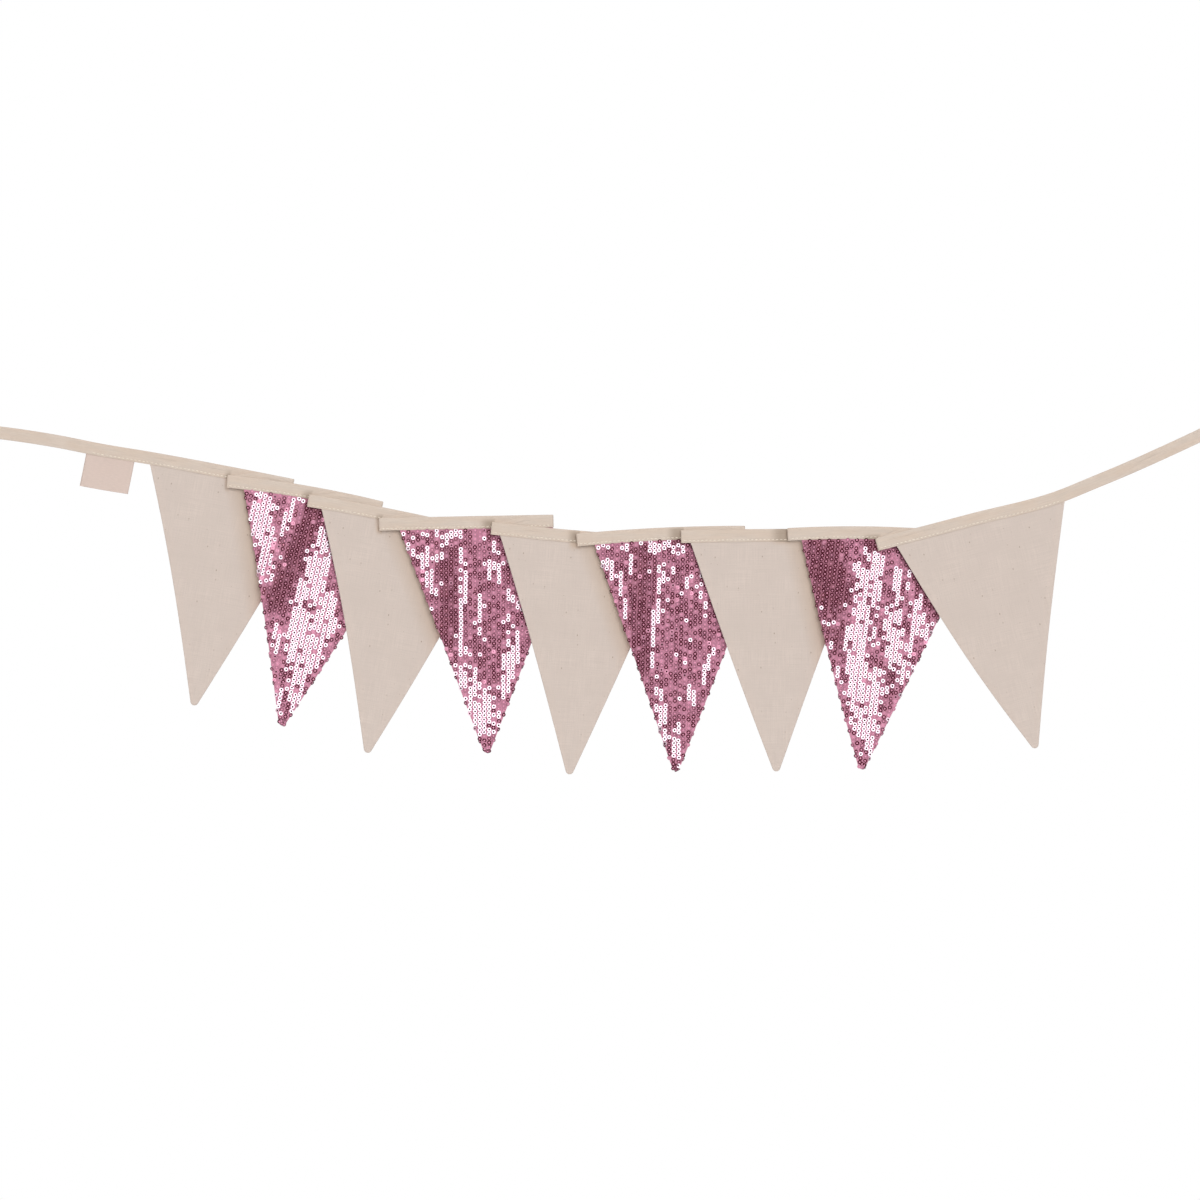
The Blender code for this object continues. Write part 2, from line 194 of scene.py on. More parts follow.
# Meshes of the cloth
TUCK = 3.0 * MM  # cloth that is caught between the tape's two layers
CLOTH_ROWS = 64
COLUMN_STEP = 2.4 * MM
FOLD_COLUMN_STEP = 0.35 * MM
TIP_ANGLES = range(-70, 71, 14)  # degrees round the tip's circle at which columns lie
CORNER_COLUMNS = (0.4 * MM, 1.0 * MM)
EDGE_ROWS = (1.2, 0.7, 0.35, 0.1, 0.0)  # millimetres inside the turned edge
EDGE_ROWS_MOST = 0.6  # share of a short column that the edge rows may take up
COLUMN_MOST = 1.2  # longest column, as a share of the drop
COLUMN_HALVINGS = 40
START_HALVINGS = 24
CREASE_STARTS = 12.0 * MM
ALLOWANCE_WIDTH = 7.5 * MM
ALLOWANCE_BLEND = 2.0 * MM
SINGLE_SHARE = 0.92  # thickness inside the turned allowance, as a share of the gauge
ALLOWANCE_SHARE = 0.12  # what the allowance adds to it
EDGE_ROUNDING = 1.1 * MM
EDGE_LEAST = 0.2  # share of the thickness that is left at the very edge
HELD_HALF = 0.24 * MM  # half the thickness that fits between the tape's layers
RELEASED = (0.2 * MM, 2.0 * MM)  # where the cloth leaves the tape, and how soon it has its full thickness
LABEL_COLUMNS = 31
LABEL_ROWS = 24
LABEL_LAST_ROWS = (0.6 * MM, 0.2 * MM)
LABEL_WAVE = 0.35 * MM
LABEL_WAVES = 1.3  # in its width
LABEL_HALF = 0.2 * MM

# Shade beside and below the layers that lie in front
BESIDE_REACH = 17.0 * MM  # how far the soft shade beside a pennant goes on cotton
# How far the shade left of each pennant's tape fold goes on what lies behind it, in millimetres
FOLD_SHADE = {2: 5.0, 3: 9.0, 4: 6.0, 5: 13.0, 6: 11.0, 7: 15.5, 8: 19.0, 9: 17.0}
FOLD_SHADE_GAIN = 1.6
FOLD_SHADE_UNDER = 1.5 * MM  # how far it goes on behind the fold
FOLD_SHADE_PAST = 4.0 * MM  # how far it goes past the tape's width
FOLD_SHADE_DEPTH = 0.85  # how much it darkens sequins
FRONT_SHADOW = {2: 0.1, 4: 0.2, 6: 0.25, 8: 0.8}  # how much the next pennant darkens the sequins beside it
SHADOW_FULL = 1.2 * MM
SHADOW_REACH = 2.6 * MM
FRONT_EDGE_POINTS = 90
DIP_CORE = 0.4  # share of a dip's half width that is fully shaded
DIP_SOFT = 0.9  # and of its soft edge

# Sequins. Leans are slopes: a mean and a spread where there are two numbers.
SEQUIN_SEED = 100
RING_SIDES = 14
KNOT_SIDES = 6
KNOT_BELOW = 0.08 * MM
KNOT_FULLNESS = 1.1  # the knot's radius over that of the hole
# Painted shade: the knots darken with the light, and are painted dark under those that flash.
KNOT_SHADE = 0.7  # how pale the knots stay where no light comes
KNOT_UNDER_FLASH = 0.0  # the knots look dark in the holes of the ones that flash
FLASH_SCATTER = 0.035
# Painted highlight: those that flash take the lit colour besides their real reflection of the lamp.
FLASH_SHADE = (1.8, 2.0)
QUIET_ANGLE = math.radians(14.0)  # the others keep at least this far from the light
QUIET_TRIES = 12
SIDE_LEAN = (-0.06, 0.12)
DOWN_LEAN = (-0.11, 0.14)  # each one leans on the one below it
QUIET_SHADE = 0.95
QUIET_POWER = 1.8  # makes deep sequins commoner than pale ones
# Painted glint: some of the others get a pale colour.
GLINTS = 0.12  # share that is pale without flashing
GLINT_SHADE = (0.7, 1.1)
RAGGED_PX = 1.8  # how uneven the sides of the wide runs are
WIDE_RUN_PX = 14.0
NARROWEST_RUN_PX = 4.8
RUN_FILL = 0.92  # share of the sequins in a run that flash
LONE_FLASHES = 0.02  # share of the sequins outside the runs that flash by themselves
DARK = 0.3  # light below which none flashes
STAND_LEAST = 0.30  # millimetres from the cloth to a sequin
STAND_SPREAD = 0.14
EDGE_WRAP = 0.6 * MM  # the edge rows reach this far past the cloth's edge
EDGE_BAND = 1.2 * MM  # sequins nearer to the edge than this turn over it
EDGE_TURN = math.radians(75.0)
# Painted shade on the sequins that turn over the edge.
EDGE_DIM = 0.35
EDGE_SINK = 0.8
EDGE_OUT = 0.2 * MM
FIRST_STRING = 0.25  # share of a string step that lies before the corner
FIRST_SEQUIN = 0.9 * MM
SIDE_CLEARANCE = 0.3 * MM
FOLD_CLEARANCE = 0.6 * MM
STRING_SCATTER = 0.08 * MM
SEQUIN_SCATTER = 0.12 * MM
STRING_LEAN = 0.05
SWAY = 0.2 * MM
SWAY_LENGTH = 9.0 * MM
WAVE = 0.14
WAVE_LENGTH = 17.0 * MM
# Those at the tip, in millimetres from the pennant's middle and above its tip
TIP_SEQUINS = ((0.2, 0.9), (-1.7, 2.6), (1.8, 2.9), (0.1, 4.4))
TIP_SCATTER = 0.3
TIP_LEAN = 0.2

# Tape and stitching
# Outline of the folded tape, across its width and through its thickness, in millimetres: the front layer
# from its lower edge up to the fold, mirrored for the back layer, and the slot between the layers
TAPE_FRONT = (
    (-5.5, 0.60),
    (-5.36, 0.71),
    (-4.7, 0.74),
    (-3.7, 0.68),
    (-2.7, 0.75),
    (0.0, 0.75),
    (3.4, 0.75),
    (4.7, 0.70),
    (5.25, 0.48),
    (5.46, 0.22),
)
TAPE_SLOT = ((-5.5, 0.30), (-3.0, 0.28), (0.0, 0.28), (4.4, 0.22), (4.75, 0.0))
TAPE_STEP = 1.8 * MM
TAPE_FOLD_STEP = 0.3 * MM
STITCH_SEED = 17
STITCH_LINE = -3.7 * MM
STITCHED_FROM = 90.0 * MM
STITCHED_TO = 924.0 * MM
# One stitch: along its length, share of its full width, and lift in radii
STITCH_RINGS = (
    (-0.5, 0.25, -0.35),
    (-0.36, 0.85, -0.05),
    (0.0, 1.0, 0.2),
    (0.36, 0.85, -0.05),
    (0.5, 0.25, -0.35),
)
STITCH_SIDES = 6
STITCH_STAND = 0.70 * MM
STITCH_TURN = 0.05
STITCH_SHIFT = 0.06 * MM
STITCH_CLEARANCE = 1.0 * MM  # from a fold
PUCKER = 0.10 * MM
PUCKER_WIDTH = 1.3 * MM
PUCKER_LENGTH = 3.6 * MM

# Threads and tints of the cloth, and the colours of its painted shade
COTTON_THREAD = 0.55 * MM
COTTON_SHADE = (0.53, 0.40, 0.30)
ALLOWANCE_TINT = (0.70, 0.56, 0.485)
ALLOWANCE_END = (5.6 * MM, 6.8 * MM)  # inside the edge, where its tint fades out
SEED_FLECK = (0.30, 0.21, 0.15)
FLECK_EDGE = (0.03, 0.06)  # from a fleck's middle, as shares of its cell
TAPE_THREAD = 0.42 * MM
UPPER_CREASE = 3.4 * MM  # height of a crease that is pressed along the tape, from the tape's middle
UPPER_CREASE_WIDTH = 0.5 * MM
LOWER_CREASE = -1.0 * MM
LOWER_CREASE_WIDTH = 0.45 * MM
CREASE_WANDER = 4.0 * MM
TAPE_CLOUD = (0.64, 0.51, 0.41)
TAPE_SHADE = (0.38, 0.30, 0.235)
THREAD_PLY = 0.45 * MM
LABEL_RIB = 0.4 * MM
LABEL_CLOUD = (0.67, 0.52, 0.455)
KNIT = 0.5 * MM
KNIT_DEEP = (0.44, 0.17, 0.235)
KNIT_BACK = (0.50, 0.20, 0.27)
BACK_THREAD = (0.60, 0.30, 0.37)
BACK_STITCH = 1.815 * MM

# Studio
AIM = (0.5256, 0.006, -0.1452)
CAMERA_BACK = 2.8817
LENS = 100.0
SENSOR = 36.0
Lamp = namedtuple("Lamp", "name offset size power")
KEY = Lamp("key_light", (2.05, -5.33, 1.85), 4.34, 188.0)
FILL = Lamp("fill_light", (-3.2, -4.0, 0.6), 3.2, 62.0)
BACK = Lamp("back_light", (-0.8, 3.0, 0.9), 2.0, 40.0)
FLOOR_BELOW = 1.0
FLOOR_HALF = (1.7, 0.8)
FLOOR_PALE = (0.86, 0.86, 0.86)
FLOOR_DIM = (0.80, 0.80, 0.80)
WHITE = (1.0, 1.0, 1.0)
ROOM = (1.0, 0.98, 0.965)


class GarlandSizes(bpy.types.PropertyGroup):
    """Sizes of what is sewn on, which the user may change"""

    sequin_width: FloatProperty(
        name="Sequin Width", description="Diameter of one sequin", default=3.6 * MM, unit="LENGTH"
    )
    sequin_hole: FloatProperty(
        name="Sequin Hole", description="Diameter of its hole", default=1.65 * MM, unit="LENGTH"
    )
    sequin_gauge: FloatProperty(
        name="Sequin Gauge", description="Thickness of one sequin", default=0.12 * MM, unit="LENGTH"
    )
    string_step: FloatProperty(
        name="String Step", description="Between two strings of sequins", default=4.1 * MM, unit="LENGTH"
    )
    sequin_step: FloatProperty(
        name="Sequin Step", description="Between two sequins of a string", default=3.63 * MM, unit="LENGTH"
    )
    stitch_step: FloatProperty(
        name="Stitch Step", description="From one stitch to the next", default=3.6 * MM, unit="LENGTH"
    )
    stitch_length: FloatProperty(
        name="Stitch Length", description="Thread that shows in one stitch", default=2.3 * MM, unit="LENGTH"
    )
    thread_width: FloatProperty(
        name="Thread Width", description="Diameter of the sewing thread", default=0.7 * MM, unit="LENGTH"
    )
    cotton_gauge: FloatProperty(
        name="Cotton Gauge", description="Thickness of the doubled cotton", default=0.9 * MM, unit="LENGTH"
    )
    ground_gauge: FloatProperty(
        name="Ground Gauge", description="Thickness of the sequins' cloth", default=0.6 * MM, unit="LENGTH"
    )


COLOUR = {"subtype": "COLOR", "min": 0, "max": 1}


class GarlandColours(bpy.types.PropertyGroup):
    """Colours of the cloth, the thread and the sequins, which the user may change"""

    cotton: FloatVectorProperty(
        name="Cotton", description="Unbleached cotton", default=(0.63, 0.54, 0.484), **COLOUR
    )
    tape: FloatVectorProperty(
        name="Tape", description="Cotton tape", default=(0.64, 0.546, 0.47), **COLOUR
    )
    thread: FloatVectorProperty(
        name="Thread", description="Sewing thread", default=(0.88, 0.80, 0.68), **COLOUR
    )
    label: FloatVectorProperty(
        name="Label", description="Bare label", default=(0.635, 0.515, 0.457), **COLOUR
    )
    ground: FloatVectorProperty(
        name="Ground", description="Cloth under the sequins", default=(0.64, 0.265, 0.385), **COLOUR
    )
    # The deep sequin colour and the lit one are painted shade and painted highlight: shaded and lit copies of
    # the pink.
    sequin_shaded: FloatVectorProperty(
        name="Deep Sequin", description="Sequins in the folds", default=(0.085, 0.004, 0.013), **COLOUR
    )
    sequin: FloatVectorProperty(
        name="Sequin", description="Sequins in the open", default=(0.80, 0.365, 0.51), **COLOUR
    )
    sequin_lit: FloatVectorProperty(
        name="Lit Sequin", description="Sequins that flash", default=(0.71, 0.61, 0.68), **COLOUR
    )


def smooth(value):
    """0 below 0, 1 above 1, and an even turn between."""
    value = min(1.0, max(0.0, value))
    return value * value * (3 - 2 * value)


def curve_through(knots):
    """A smooth height and slope along x through knots of (x, z)."""
    xs = [x for x, _ in knots]

    def slope_at(i):
        middle = min(max(i, 1), len(knots) - 2)
        (x0, z0), (x1, z1), (x2, z2) = knots[middle - 1 : middle + 2]
        before = (z1 - z0) / (x1 - x0)
        after = (z2 - z1) / (x2 - x1)
        bend = (after - before) / (x2 - x0)
        return before + bend * (2 * xs[i] - x0 - x1)

    def at(x):
        i = min(max(bisect_right(xs, x) - 1, 0), len(knots) - 2)
        return hermite(knots[i], knots[i + 1], slope_at(i), slope_at(i + 1), x)

    return at


def hermite(start, end, start_slope, end_slope, x):
    """Height and slope at x of the cubic between two (x, z) points with given slopes."""
    run = end[0] - start[0]
    u = (x - start[0]) / run
    z = (
        (2 * u**3 - 3 * u**2 + 1) * start[1]
        + (u**3 - 2 * u**2 + u) * run * start_slope
        + (3 * u**2 - 2 * u**3) * end[1]
        + (u**3 - u**2) * run * end_slope
    )
    slope = (
        6 * (u**2 - u) * (start[1] - end[1]) / run
        + (3 * u**2 - 4 * u + 1) * start_slope
        + (3 * u**2 - 2 * u) * end_slope
    )
    return z, slope


def backing_y(x):
    """How far back the rearmost layer lies: slanted, and level at both ends of the tape."""

    def ramp(start):
        reach = x - start
        if reach <= 0:
            return 0.0
        if reach >= LEAN_BLEND:
            return reach - LEAN_BLEND / 2
        return reach * reach / (2 * LEAN_BLEND)

    return LAYER_STEP / LEAN_PITCH * (ramp(LEAN_START) - ramp(LEAN_END))


Station = namedtuple("Station", "length x z up_x up_z layer")


class Tape:
    """The tape's middle line from end to end, with its folds, as stations along its length."""

    def __init__(self):
        self.stations = []
        self.lengths = []
        self.turns = []  # (start, end) of each fold along the tape
        self.cloth_starts = []
        self.fold_lengths = []
        self.bands = [self.band(i) for i in range(len(PENNANTS))]
        self.trace()

    def band(self, i):
        """The height curve of the tape over one pennant, from its left fold to its right one."""
        row = PENNANTS[i]
        start = row.fold_x
        end = self.right_fold(i)
        knots = [(start, row.left_z), ((start + end) / 2, row.middle_z), (end, row.right_z)]
        if i == 0:
            knots = list(LEFT_TIE) + knots
        if i == len(PENNANTS) - 1:
            knots = knots + list(RIGHT_TIE)
        return curve_through([(x * MM, z * MM) for x, z in knots])

    def right_fold(self, i):
        """Where the tape turns forward, so that the bare stretch has its length, in millimetres."""
        row = PENNANTS[i]
        cloth_start = row.fold_x + row.lead
        if i == len(PENNANTS) - 1:
            return cloth_start + (PENNANT_WIDTH / MM) * math.cos(math.radians(row.tilt))
        following = PENNANTS[i + 1]
        pitch = (PENNANT_WIDTH + BARE_TAPE) / MM
        return (pitch + cloth_start + following.fold_x - following.lead) / 2

    def add(self, x, z, up, layer):
        length = 0.0
        if self.stations:
            last = self.stations[-1]
            back = backing_y(x) + layer - backing_y(last.x) - last.layer
            length = last.length + math.sqrt((x - last.x) ** 2 + (z - last.z) ** 2 + back**2)
        self.stations.append(Station(length, x, z, *up, layer))
        self.lengths.append(length)
        return length

    def run(self, start, end, height, layer):
        """Stations from x = start to x = end along a height curve."""
        count = max(2, round(abs(end - start) / PATH_STEP))
        began = None
        for n in range(count + 1):
            x = start + (end - start) * n / count
            z, slope = height(x)
            scale = math.hypot(1.0, slope)
            length = self.add(x, z, (-slope / scale, 1 / scale), layer)
            began = length if began is None else began
        return began, length

    def turn(self, towards):
        """A fold: the tape turns forward round a small radius and heads back."""
        _, x, z, up_x, up_z, layer = self.stations[-1]
        steps = 24
        began = self.lengths[-1]
        for n in range(1, steps + 1):
            angle = math.pi * n / steps
            reach = FOLD_RADIUS * math.sin(angle) * towards
            forward = FOLD_RADIUS * (1 - math.cos(angle))
            end = self.add(x + reach * up_z, z - reach * up_x, (up_x, up_z), layer - forward)
        self.turns.append((began, end))

    def trace(self):
        for i, row in enumerate(PENNANTS):
            last = i == len(PENNANTS) - 1
            layer = -LAYER_STEP * i
            height = self.bands[i]
            start = LEFT_TIE[0][0] * MM if i == 0 else row.fold_x * MM
            end = RIGHT_TIE[-1][0] * MM if last else self.right_fold(i) * MM
            band_start, fold = self.run(start, end, height, layer)
            cloth_start = self.length_at((row.fold_x + row.lead) * MM, band_start)
            self.cloth_starts.append(cloth_start)
            self.fold_lengths.append(None if last else fold)
            if last:
                return
            self.turn(1)
            corner = PENNANT_WIDTH - (fold - cloth_start) - math.pi * FOLD_RADIUS
            corner_x = self.place(fold - corner)[0]
            forward_layer = layer - LAYER_STEP / 2
            self.run(end, corner_x, height, forward_layer)
            left_x = PENNANTS[i + 1].fold_x * MM
            self.run(corner_x, left_x, self.way_back(i, left_x, corner_x), forward_layer)
            self.turn(-1)

    def way_back(self, i, left_x, corner_x):
        """The height curve of the return leg, from a pennant's turned corner to the next left fold."""
        z_corner, slope_corner = self.bands[i](corner_x)
        z_left, slope_left = self.bands[i + 1](left_x)
        return lambda x: hermite((left_x, z_left), (corner_x, z_corner), slope_left, slope_corner, x)

    def length_at(self, x, not_before):
        """Length along the tape at which it passes x, in the stretch that starts at not_before."""
        first = bisect_right(self.lengths, not_before) - 1
        for before, after in zip(self.stations[first:], self.stations[first + 1 :]):
            if before.x <= x <= after.x and after.x > before.x:
                share = (x - before.x) / (after.x - before.x)
                return before.length + share * (after.length - before.length)
        raise ValueError("the tape does not pass there")

    def place(self, length):
        """x, z, the tape's upward direction and the layer at a length along it."""
        i = min(max(bisect_right(self.lengths, length) - 1, 0), len(self.lengths) - 2)
        before = self.stations[i]
        after = self.stations[i + 1]
        run = after.length - before.length
        share = (length - before.length) / run if run else 0.0
        return [a + share * (b - a) for a, b in zip(before[1:], after[1:])]

    def point(self, length, across):
        """A point of the tape, across its width from the middle."""
        x, z, up_x, up_z, layer = self.place(length)
        x += across * up_x
        z += across * up_z
        return (x, backing_y(x) + layer, z)

    def facing(self, length):
        """The direction in which the tape's front looks at a length along it."""
        _, _, up_x, up_z, _ = self.place(length)
        step = 0.2 * MM
        along = np.subtract(self.point(length + step, 0.0), self.point(length - step, 0.0))
        return unit(np.cross(along, (up_x, 0.0, up_z)))

    def hanging_point(self, length, down, tilt, forward):
        """A point of cloth that hangs from the tape's lower edge, down its own straight direction."""
        x, z, up_x, up_z, layer = self.place(length)
        edge = TAPE_WIDTH / 2 + SEAM_GAP
        x += -edge * up_x - down * math.sin(math.radians(tilt))
        z += -edge * up_z - down * math.cos(math.radians(tilt))
        return (x, backing_y(x) + layer - forward, z)


TAPE = Tape()


def unit(vector):
    return np.asarray(vector, float) / np.linalg.norm(vector)


def drop_at(row, along):
    """Height of a pennant's cloth at a distance from its left corner: bowed sides and a round tip."""
    drop = row.drop * MM
    hollow = (row.left_hollow if along < PENNANT_WIDTH / 2 else row.right_hollow) * MM
    half = PENNANT_WIDTH / 2
    from_middle = abs(along - half)
    # The sides are tangent to the tip's circle, so the sharp point would lie a little lower.
    side = math.atan2(half, drop)
    for _ in range(4):
        sharp = drop + TIP_RADIUS / math.sin(side) - TIP_RADIUS
        side = math.atan2(half, sharp)
    tangent = TIP_RADIUS * math.cos(side)
    if from_middle < tangent:
        return drop - TIP_RADIUS + math.sqrt(TIP_RADIUS**2 - from_middle**2)
    drawn_in = hollow * math.sin(math.pi * (from_middle - tangent) / (half - tangent))
    return max(CORNER_HEIGHT, sharp * (1 - (from_middle + drawn_in) / half))


def relief(row, along, down):
    """How far a pennant's cloth stands forward of its layer."""
    share = down / (row.drop * MM)
    away = (along / PENNANT_WIDTH - row.ridge_at - row.ridge_lean * share) / RIDGE_WIDTH
    ridge = row.ridge * MM * math.exp(-away * away) * smooth(down / RIDGE_STARTS)
    curl = row.curl * MM * smooth((share - CURL_STARTS) / (1 - CURL_STARTS))
    return ridge + curl


def off_line(x, y, start, end):
    """Distance of a point from the line between two others."""
    run_x = end[0] - start[0]
    run_y = end[1] - start[1]
    length = run_x * run_x + run_y * run_y
    share = 0.0
    if length:
        share = min(1.0, max(0.0, ((x - start[0]) * run_x + (y - start[1]) * run_y) / length))
    return math.hypot(x - start[0] - share * run_x, y - start[1] - share * run_y)


def creased(i, along, down):
    """How far the small creases lift a pennant's cloth."""
    lift = 0.0
    for crease in CREASES:
        if crease.pennant == i + 1:
            start = (crease.from_along * MM, crease.from_down * MM)
            end = (crease.to_along * MM, crease.to_down * MM)
            away = off_line(along, down, start, end) / (crease.width * MM / 2)
            lift += crease.height * MM * math.exp(-away * away)
    return lift * smooth(down / CREASE_STARTS)


def column_lean(i, start):
    """How far a column of the cloth turns from the cloth's direction to that of the fold, in radians."""
    if TAPE.fold_lengths[i] is None:
        return 0.0
    row = PENNANTS[i]
    first = PENNANT_WIDTH / 2 + 2 * TIP_RADIUS
    to_fold = TAPE.fold_lengths[i] - TAPE.cloth_starts[i]
    return math.radians(row.tilt - row.fold_tilt) * smooth((start - first) / (to_fold - first))


def column_length(row, start, lean):
    """How far a column runs from the top edge to the cloth's outline."""
    short = 0.0
    long = COLUMN_MOST * row.drop * MM
    for _ in range(COLUMN_HALVINGS):
        middle = (short + long) / 2
        if middle * math.cos(lean) < drop_at(row, start + middle * math.sin(lean)):
            short = middle
        else:
            long = middle
    return short


def column_point(i, start, reach):
    """A point in the middle of a pennant's cloth, at a distance down one of its columns."""
    row = PENNANTS[i]
    lean = column_lean(i, start)
    along = start + reach * math.sin(lean)
    down = reach * math.cos(lean)
    forward = relief(row, along, down) + creased(i, along, down)
    return TAPE.hanging_point(TAPE.cloth_starts[i] + start, reach, row.tilt - math.degrees(lean), forward)


def cloth_point(i, along, down):
    """A point in the middle of a pennant's cloth, from how far along and down it lies."""
    if PENNANTS[i].tilt == PENNANTS[i].fold_tilt:
        return column_point(i, along, down)
    low = 0.0
    high = max(along, low)
    for _ in range(START_HALVINGS):
        start = (low + high) / 2
        if start + down * math.tan(column_lean(i, start)) < along:
            low = start
        else:
            high = start
    return column_point(i, start, down / math.cos(column_lean(i, start)))


def edge_distance(i, along, down):
    """Distance inside the nearest turned side of a pennant, and the side's slope."""
    row = PENNANTS[i]
    step = 0.25 * MM
    here = min(max(along, 2 * step), PENNANT_WIDTH - 2 * step)
    slope = (drop_at(row, here + step) - drop_at(row, here - step)) / (2 * step)
    return (drop_at(row, along) - down) / math.hypot(1.0, slope), slope


# Meshes


def new_object(name, mesh, material, node=None):
    mesh.materials.append(material)
    piece = bpy.data.objects.new(name, mesh)
    bpy.context.scene.collection.objects.link(piece)
    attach(piece, "root")
    if node:
        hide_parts(node)
    return piece


def store(mesh, name, values):
    """Keeps one number or one vector for each corner point of a mesh."""
    values = np.asarray(values, np.float32)
    kind, field = ("FLOAT_VECTOR", "vector") if values.ndim == 2 else ("FLOAT", "value")
    mesh.attributes.new(name, kind, "POINT").data.foreach_set(field, values.ravel())


def sheet_mesh(name, middle, half, cloth, rim):
    """A closed sheet of cloth about a grid of middle points, with a half thickness at each.

    cloth holds how far along and down each point lies, and rim how far inside the cloth's edge.
    """
    across = np.gradient(middle, axis=0)
    down = np.gradient(middle, axis=1)
    facing = np.cross(down, across)
    facing /= np.linalg.norm(facing, axis=2, keepdims=True)
    columns, rows = half.shape
    front = middle + facing * half[..., None]
    back = middle - facing * half[..., None]
    points = np.concatenate([front.reshape(-1, 3), back.reshape(-1, 3)])
    index = np.arange(columns * rows).reshape(columns, rows)
    behind = index + columns * rows

    def quads(a, b, c, d):
        return np.stack([a.ravel(), b.ravel(), c.ravel(), d.ravel()], axis=1)

    def rim_quads(line, other):
        return quads(line[:-1], line[1:], other[1:], other[:-1])

    faces = [
        quads(index[:-1, :-1], index[:-1, 1:], index[1:, 1:], index[1:, :-1]),
        quads(behind[:-1, :-1], behind[1:, :-1], behind[1:, 1:], behind[:-1, 1:]),
        rim_quads(index[:, 0], behind[:, 0]),
        rim_quads(behind[:, -1], index[:, -1]),
        rim_quads(behind[0], index[0]),
        rim_quads(index[-1], behind[-1]),
    ]
    mesh = bpy.data.meshes.new(name)
    mesh.from_pydata(points.tolist(), [], np.concatenate(faces).tolist())
    mesh.shade_smooth()
    flat = cloth.reshape(-1, 2)
    side = np.ones((len(flat), 1))
    store(mesh, "cloth", np.concatenate([np.hstack([flat, side]), np.hstack([flat, -side])]))
    store(mesh, "rim", np.concatenate([rim.ravel(), rim.ravel()]))
    return mesh


def pennant_columns(i):
    """Distances from the left corner of the columns of a pennant's mesh, close together in its fold."""
    fine = FOLD_COLUMN_STEP
    ends = (0.0, PENNANT_WIDTH)
    columns = np.linspace(*ends, round(PENNANT_WIDTH / COLUMN_STEP) + 1)
    close = [PENNANT_WIDTH / 2 + TIP_RADIUS * math.sin(math.radians(angle)) for angle in TIP_ANGLES]
    for gap in CORNER_COLUMNS:
        close += [gap, PENNANT_WIDTH - gap]
    if TAPE.fold_lengths[i] is not None:
        to_fold = TAPE.fold_lengths[i] - TAPE.cloth_starts[i]
        close += list(np.arange(to_fold - fine, to_fold + math.pi * FOLD_RADIUS + fine, fine))

    def alone(x):
        return min(abs(x - other) for other in close) > COLUMN_STEP / 3

    return sorted(set([x for x in columns if alone(x) or x in ends] + close))


def pennant_sheet(i, name, gauge, allowance):
    """The cloth of one pennant, with rounded edges and, where it is turned, the allowance inside them."""
    shares = np.linspace(0.0, 1.0, CLOTH_ROWS)
    middle, half, cloth, rim = [], [], [], []
    for start in pennant_columns(i):
        lean = column_lean(i, start)
        end = column_length(PENNANTS[i], start, lean)
        _, slope = edge_distance(i, start + end * math.sin(lean), end * math.cos(lean))
        stretch = math.hypot(1.0, slope) / (math.cos(lean) - slope * math.sin(lean))
        most = EDGE_ROWS_MOST * end / EDGE_ROWS[0]
        edge = [min(gap * MM * stretch, gap * most) for gap in EDGE_ROWS]
        lowest = end - edge[0]
        reaches = [-TUCK + share * (lowest + TUCK) for share in shares[:-1]] + [end - gap for gap in edge]
        distances = [(end - reach) / stretch for reach in reaches]
        middle.append([column_point(i, start, reach) for reach in reaches])
        cloth.append([(start + reach * math.sin(lean), reach * math.cos(lean)) for reach in reaches])
        rim.append(distances)
        half.append([half_gauge(gauge, allowance, *at) for at in zip(reaches, distances)])
    return sheet_mesh(name, np.array(middle), np.array(half), np.array(cloth), np.array(rim))


def half_gauge(gauge, allowance, down, distance):
    """Half a pennant's thickness: thin under the tape, fuller over the allowance, round at the edge."""
    full = gauge / 2
    if allowance:
        full *= SINGLE_SHARE + ALLOWANCE_SHARE * smooth((ALLOWANCE_WIDTH - distance) / ALLOWANCE_BLEND)
    away = min(1.0, max(0.0, 1 - distance / EDGE_ROUNDING))
    full *= max(EDGE_LEAST, math.sqrt(1 - away * away))
    free = smooth((down - RELEASED[0]) / RELEASED[1])
    return min(full, HELD_HALF) * (1 - free) + full * free


# Materials


class Socket:
    """A value in a material. Arithmetic on it adds Math nodes."""

    def __init__(self, shading, socket):
        self.shading = shading
        self.socket = socket

    def math(self, operation, *others):
        inputs = dict(enumerate((self, *others)))
        return self.shading.node("ShaderNodeMath", {"operation": operation}, inputs)

    def __add__(self, other):
        return self.math("ADD", other)

    def __sub__(self, other):
        return self.math("SUBTRACT", other)

    def __rsub__(self, other):
        return self.math("MULTIPLY_ADD", -1.0, other)

    def __mul__(self, other):
        return self.math("MULTIPLY", other)

    def __truediv__(self, other):
        return self.math("DIVIDE", other)

    __radd__ = __add__
    __rmul__ = __mul__

    def step(self, low, high):
        """0 where this is low, 1 where it is high, with an even turn between."""
        inputs = {0: self, 1: low, 2: high}
        return self.shading.node("ShaderNodeMapRange", {"interpolation_type": "SMOOTHSTEP"}, inputs)


